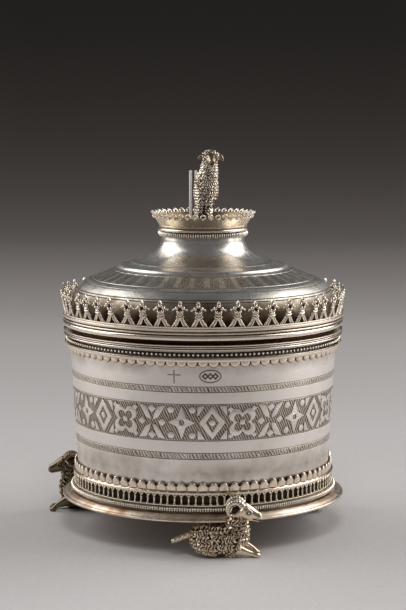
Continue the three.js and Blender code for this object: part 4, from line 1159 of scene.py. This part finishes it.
def lamb_bodies():
    """The lamb, seated and facing the viewer, with its plinth's top at z = 0. It is drawn in
    hundredths of its height."""
    forward = (0, -1, 0)

    def part(sections, wool, upward=(0, 0, 1)):
        return loft([[v * LAMB_UNIT for v in section] for section in sections], upward), wool

    bodies = [
        part([(0.3, 5.7, -1, 9.8, 15), (0.6, 6, 14, 11, 18.5), (1.2, 5.5, 24, 12.6, 19),
              (3.5, 4.0, 38, 16.6, 18), (5.1, 1.5, 56, 15.8, 15.3), (7.7, -0.8, 68, 13, 13),
              (8.8, -1.2, 79, 10.8, 11.5), (9.9, -1.1, 88, 9.8, 10.2)], 1.0, forward),
        part([(10.2, 9.2, 89.5, 5.3, 4.9), (10.4, 3.5, 90, 12.0, 8.9),
              (10.8, -3.0, 90, 11.0, 8.4)], 1.0),
        part([(10.4, 0.5, 87.5, 9.4, 7.6), (11, -7.0, 86.5, 8.2, 7.6), (12, -14.8, 84.5, 6.0, 5.6),
              (12.7, -20.0, 82.5, 3.6, 3.4)], 0.0),
        part([(4.2, 2.1, 91.5, 2.1, 2.5), (-1.4, 1.1, 90, 2.5, 3.2),
              (-6.7, 0, 87, 1.3, 1.6)], 0.0),
        part([(17, 2.1, 91.5, 2.1, 2.5), (24.4, 1.1, 89.5, 2.5, 3.2),
              (27.4, 0, 83.5, 1.3, 1.6)], 0.0),
    ]
    for s in (-1, 1):
        out = 2.1 + (7.5 if s < 0 else 5.0) * s
        bodies += [
            part([(3.2 + 5.8 * s, -8.0, 44, 5.6, 5.0), (1.8 + 5.2 * s, -12.4, 24, 4.4, 4.2),
                  (1.0 + 4.8 * s, -14.6, 11, 3.6, 3.6)], 1.0, forward),
            part([(1.0 + 4.8 * s, -14.6, 13, 2.9, 2.9), (1.0 + 5.0 * s, -15.8, 5, 3.0, 3.0),
                  (1.0 + 5.0 * s, -17.0, 0, 3.8, 4.4)], 0.0, forward),
            part([(out, 19.1, 13, 2.8, 4.9), (out, 11.3, 15, 6.2, 12.2),
                  (out, 0.7, 11, 5.8, 10.2), (out, -11.3, 3, 4.2, 4.6)], 1.0)]
    return bodies


lamb_turn = Matrix.Translation((0, 0, up(PLINTH_TOP)))
lamb_skin = skin_of("lamb_skin", lamb_bodies(), 0.18, lamb_turn)
for vertex in lamb_skin.data.vertices:
    vertex.co.z = max(vertex.co.z, up(PLINTH_TOP - 0.2))
# The lamb's eyes, nostrils and mouth are dark marks of painted shade.
lamb_face = [ball("eye", (3.28 + 1.5 * s, -3.5, 25.0), 0.45, 10, 7) for s in (-1, 1)]
lamb_face += [ball("nostril", (3.6 + 0.5 * s, -6.05, 23.5), 0.24, 8, 6) for s in (-1, 1)]
lamb_face.append(rod("mouth", [(2.9, -5.7, 22.7), (3.6, -6.1, 22.55), (4.3, -5.7, 22.7)],
                     [0.16] * 3, 6))
for mark in lamb_face:
    dress(mark, painted_shade_dark).data.transform(lamb_turn)
lamb = fleeced("lamb_cast", lamb_skin, lamb_silver, (1.0, 0.3, 0.0), pitch=0.95, height=0.5,
               wave_pitch=2.2, wave_depth=0.34, breaks=750.0, seed=5.0)
plinth = ring_part("plinth", plinth_silver, [
    (0, PLINTH_FOOT), (PLINTH_WIDTH / 2, PLINTH_FOOT), (PLINTH_WIDTH / 2, 120.3),
    (7.1, PLINTH_TOP), (0, PLINTH_TOP)], 0.12, 96)
plinth.data.transform(Matrix.Diagonal((1, PLINTH_DEPTH / PLINTH_WIDTH, 1, 1)))
settle(joined("lamb_on_plinth", [lamb, plinth] + lamb_face), "lid", "lamb")

STAFF_X, STAFF_Y, STAFF_WIDTH, BAR = -5.45, 1.6, 3.3, 1.2
bars = [rod("bar", [(STAFF_X + x, 0, z) for z in (0.3, 10, 19.8)], [0.56] * 3, 14, 0.9)
        for x in (BAR / 2, STAFF_WIDTH - BAR / 2)]
staff_foot = plate("staff_foot", [oblong(STAFF_X, 0, STAFF_X + STAFF_WIDTH, 1.4)], 1.1, 0.2)
staff = joined("lamb_staff_bars", bars + [staff_foot])
staff.data.transform(Matrix.Translation((0, STAFF_Y * MM, up(PLINTH_TOP))))
settle(dress(staff, staff_silver), "lid", "lamb_staff")

# The stud and the nut inside the finial can't be seen and keep the model's own meshes
for hidden in ("finial_stud", "finial_nut"):
    dress(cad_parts[hidden], rim_silver)


# Setting: a table and a low backdrop in one sweep of paper, lamps and a dim grey room
def sweep():
    line = [(-1.6, 0.0), (1.3, 0.0)]
    line += [(1.3 + 0.7 * math.sin(math.radians(a)), 0.7 - 0.7 * math.cos(math.radians(a)))
             for a in range(6, 67, 6)]
    points = [(x, y, TABLE + z) for y, z in line for x in (-3.0, 3.0)]
    faces = [[2 * i, 2 * i + 1, 2 * i + 3, 2 * i + 2] for i in range(len(line) - 1)]
    return new_piece("table_and_backdrop", mesh_from("table_and_backdrop", points, faces, 60))


# The paper's tone, painted light and shade, by its distance behind the object, in metres along the
# sweep:
# brighter far in front, a painted shadow band in front of the object, and painted shade growing
# away from it and up the backdrop
PAINTED_LIGHT_AND_SHADE = [(-0.6, 1.15), (-0.42, 0.5), (-0.24, 0.5), (-0.15, 0.98), (-0.1, 0.98), (0.2, 0.89),
         (0.29, 0.82), (0.4, 0.755), (0.53, 0.70), (0.69, 0.555), (0.9, 0.45), (1.18, 0.375),
         (1.46, 0.27), (1.68, 0.189), (1.876, 0.135), (2.08, 0.099), (2.28, 0.073), (2.48, 0.055),
         (2.675, 0.041), (2.87, 0.035)]
FADES_START, FADES_END = -0.6, 3.0


def paper():
    """Pale paper with painted light and shade: painted brighter at the sides, a painted shadow
    band in front of the object, and painted darker away from the object and up the backdrop.
    """
    material, put, do, span, spot, at = new_finish("Backdrop paper")
    rise = do("MULTIPLY_ADD", do("SUBTRACT", at["Z"], TABLE), 4.0, at["Y"])
    fade = put("ShaderNodeValToRGB", {0: span(rise, FADES_START, FADES_END)})
    stops = fade.color_ramp.elements
    while len(stops) < len(PAINTED_LIGHT_AND_SHADE):
        stops.new(0.5)
    for stop, (where, tone) in zip(stops, PAINTED_LIGHT_AND_SHADE):
        warmth = (1 - min(tone, 1)) ** 2
        stop.position = (where - FADES_START) / (FADES_END - FADES_START)
        stop.color = (tone, tone * (0.95 - 0.16 * warmth), tone * (0.93 - 0.28 * warmth), 1)
    fibre = put("ShaderNodeTexNoise", {"Vector": spot, "Scale": 900.0, "Detail": 3.0}).outputs[0]
    # Painted light: the paper is brighter at the sides.
    painted_side_light = span(do("ABSOLUTE", at["X"]), 0.23, 0.45, 1.0, 1.6)
    tone = do("MULTIPLY", span(fibre, 0.3, 0.7, 0.555, 0.61), painted_side_light)
    colour = put("ShaderNodeVectorMath", {0: fade.outputs[0], "Scale": tone},
                 operation="SCALE").outputs[0]
    shader = put("ShaderNodeBsdfPrincipled", {"Base Color": colour, "Roughness": 0.8})
    put("ShaderNodeOutputMaterial", {"Surface": shader.outputs[0]})
    return material


dress(sweep(), paper())


def soft_box(name, spot, target, width, height, power):
    lamp = bpy.data.lights.new(name, "AREA")
    lamp.shape = "RECTANGLE"
    lamp.size, lamp.size_y, lamp.energy = width, height, power
    holder = bpy.data.objects.new(name, lamp)
    holder.location = spot
    holder.rotation_euler = (Vector(target) - Vector(spot)).to_track_quat("-Z", "Y").to_euler()
    scene.collection.objects.link(holder)
    return holder


soft_box("left_box", (-1.05, 0.32, 0.72), (0, 0, 0.06), 1.35, 1.15, 10.8)
soft_box("right_box", (1.05, 0.28, 0.72), (0, 0, 0.06), 1.35, 1.15, 13.6)
front_box = soft_box("front_box", (0.05, -0.8, 0.95), (0, 0, 0.03), 0.35, 0.35, 4.5)
front_box.visible_glossy = False

world = bpy.data.worlds.new("Studio")
world.use_nodes = True
world.node_tree.nodes.clear()
glow = place(world.node_tree, "ShaderNodeBackground", {
    "Color": (0.5, 0.5, 0.52, 1), "Strength": 0.26})
place(world.node_tree, "ShaderNodeOutputWorld", {"Surface": glow.outputs[0]})
scene.world = world
scene.view_settings.view_transform = "Standard"

camera = bpy.data.cameras.new("camera")
camera.sensor_fit = "VERTICAL"
camera.sensor_height = 24.0
camera.lens = 76.05
camera.clip_start = 0.01
viewer = bpy.data.objects.new("camera", camera)
viewer.location = (0, -0.7535, 0.1636)
viewer.rotation_euler = (math.radians(90 - 6.95), 0, 0)
scene.collection.objects.link(viewer)
scene.camera = viewer
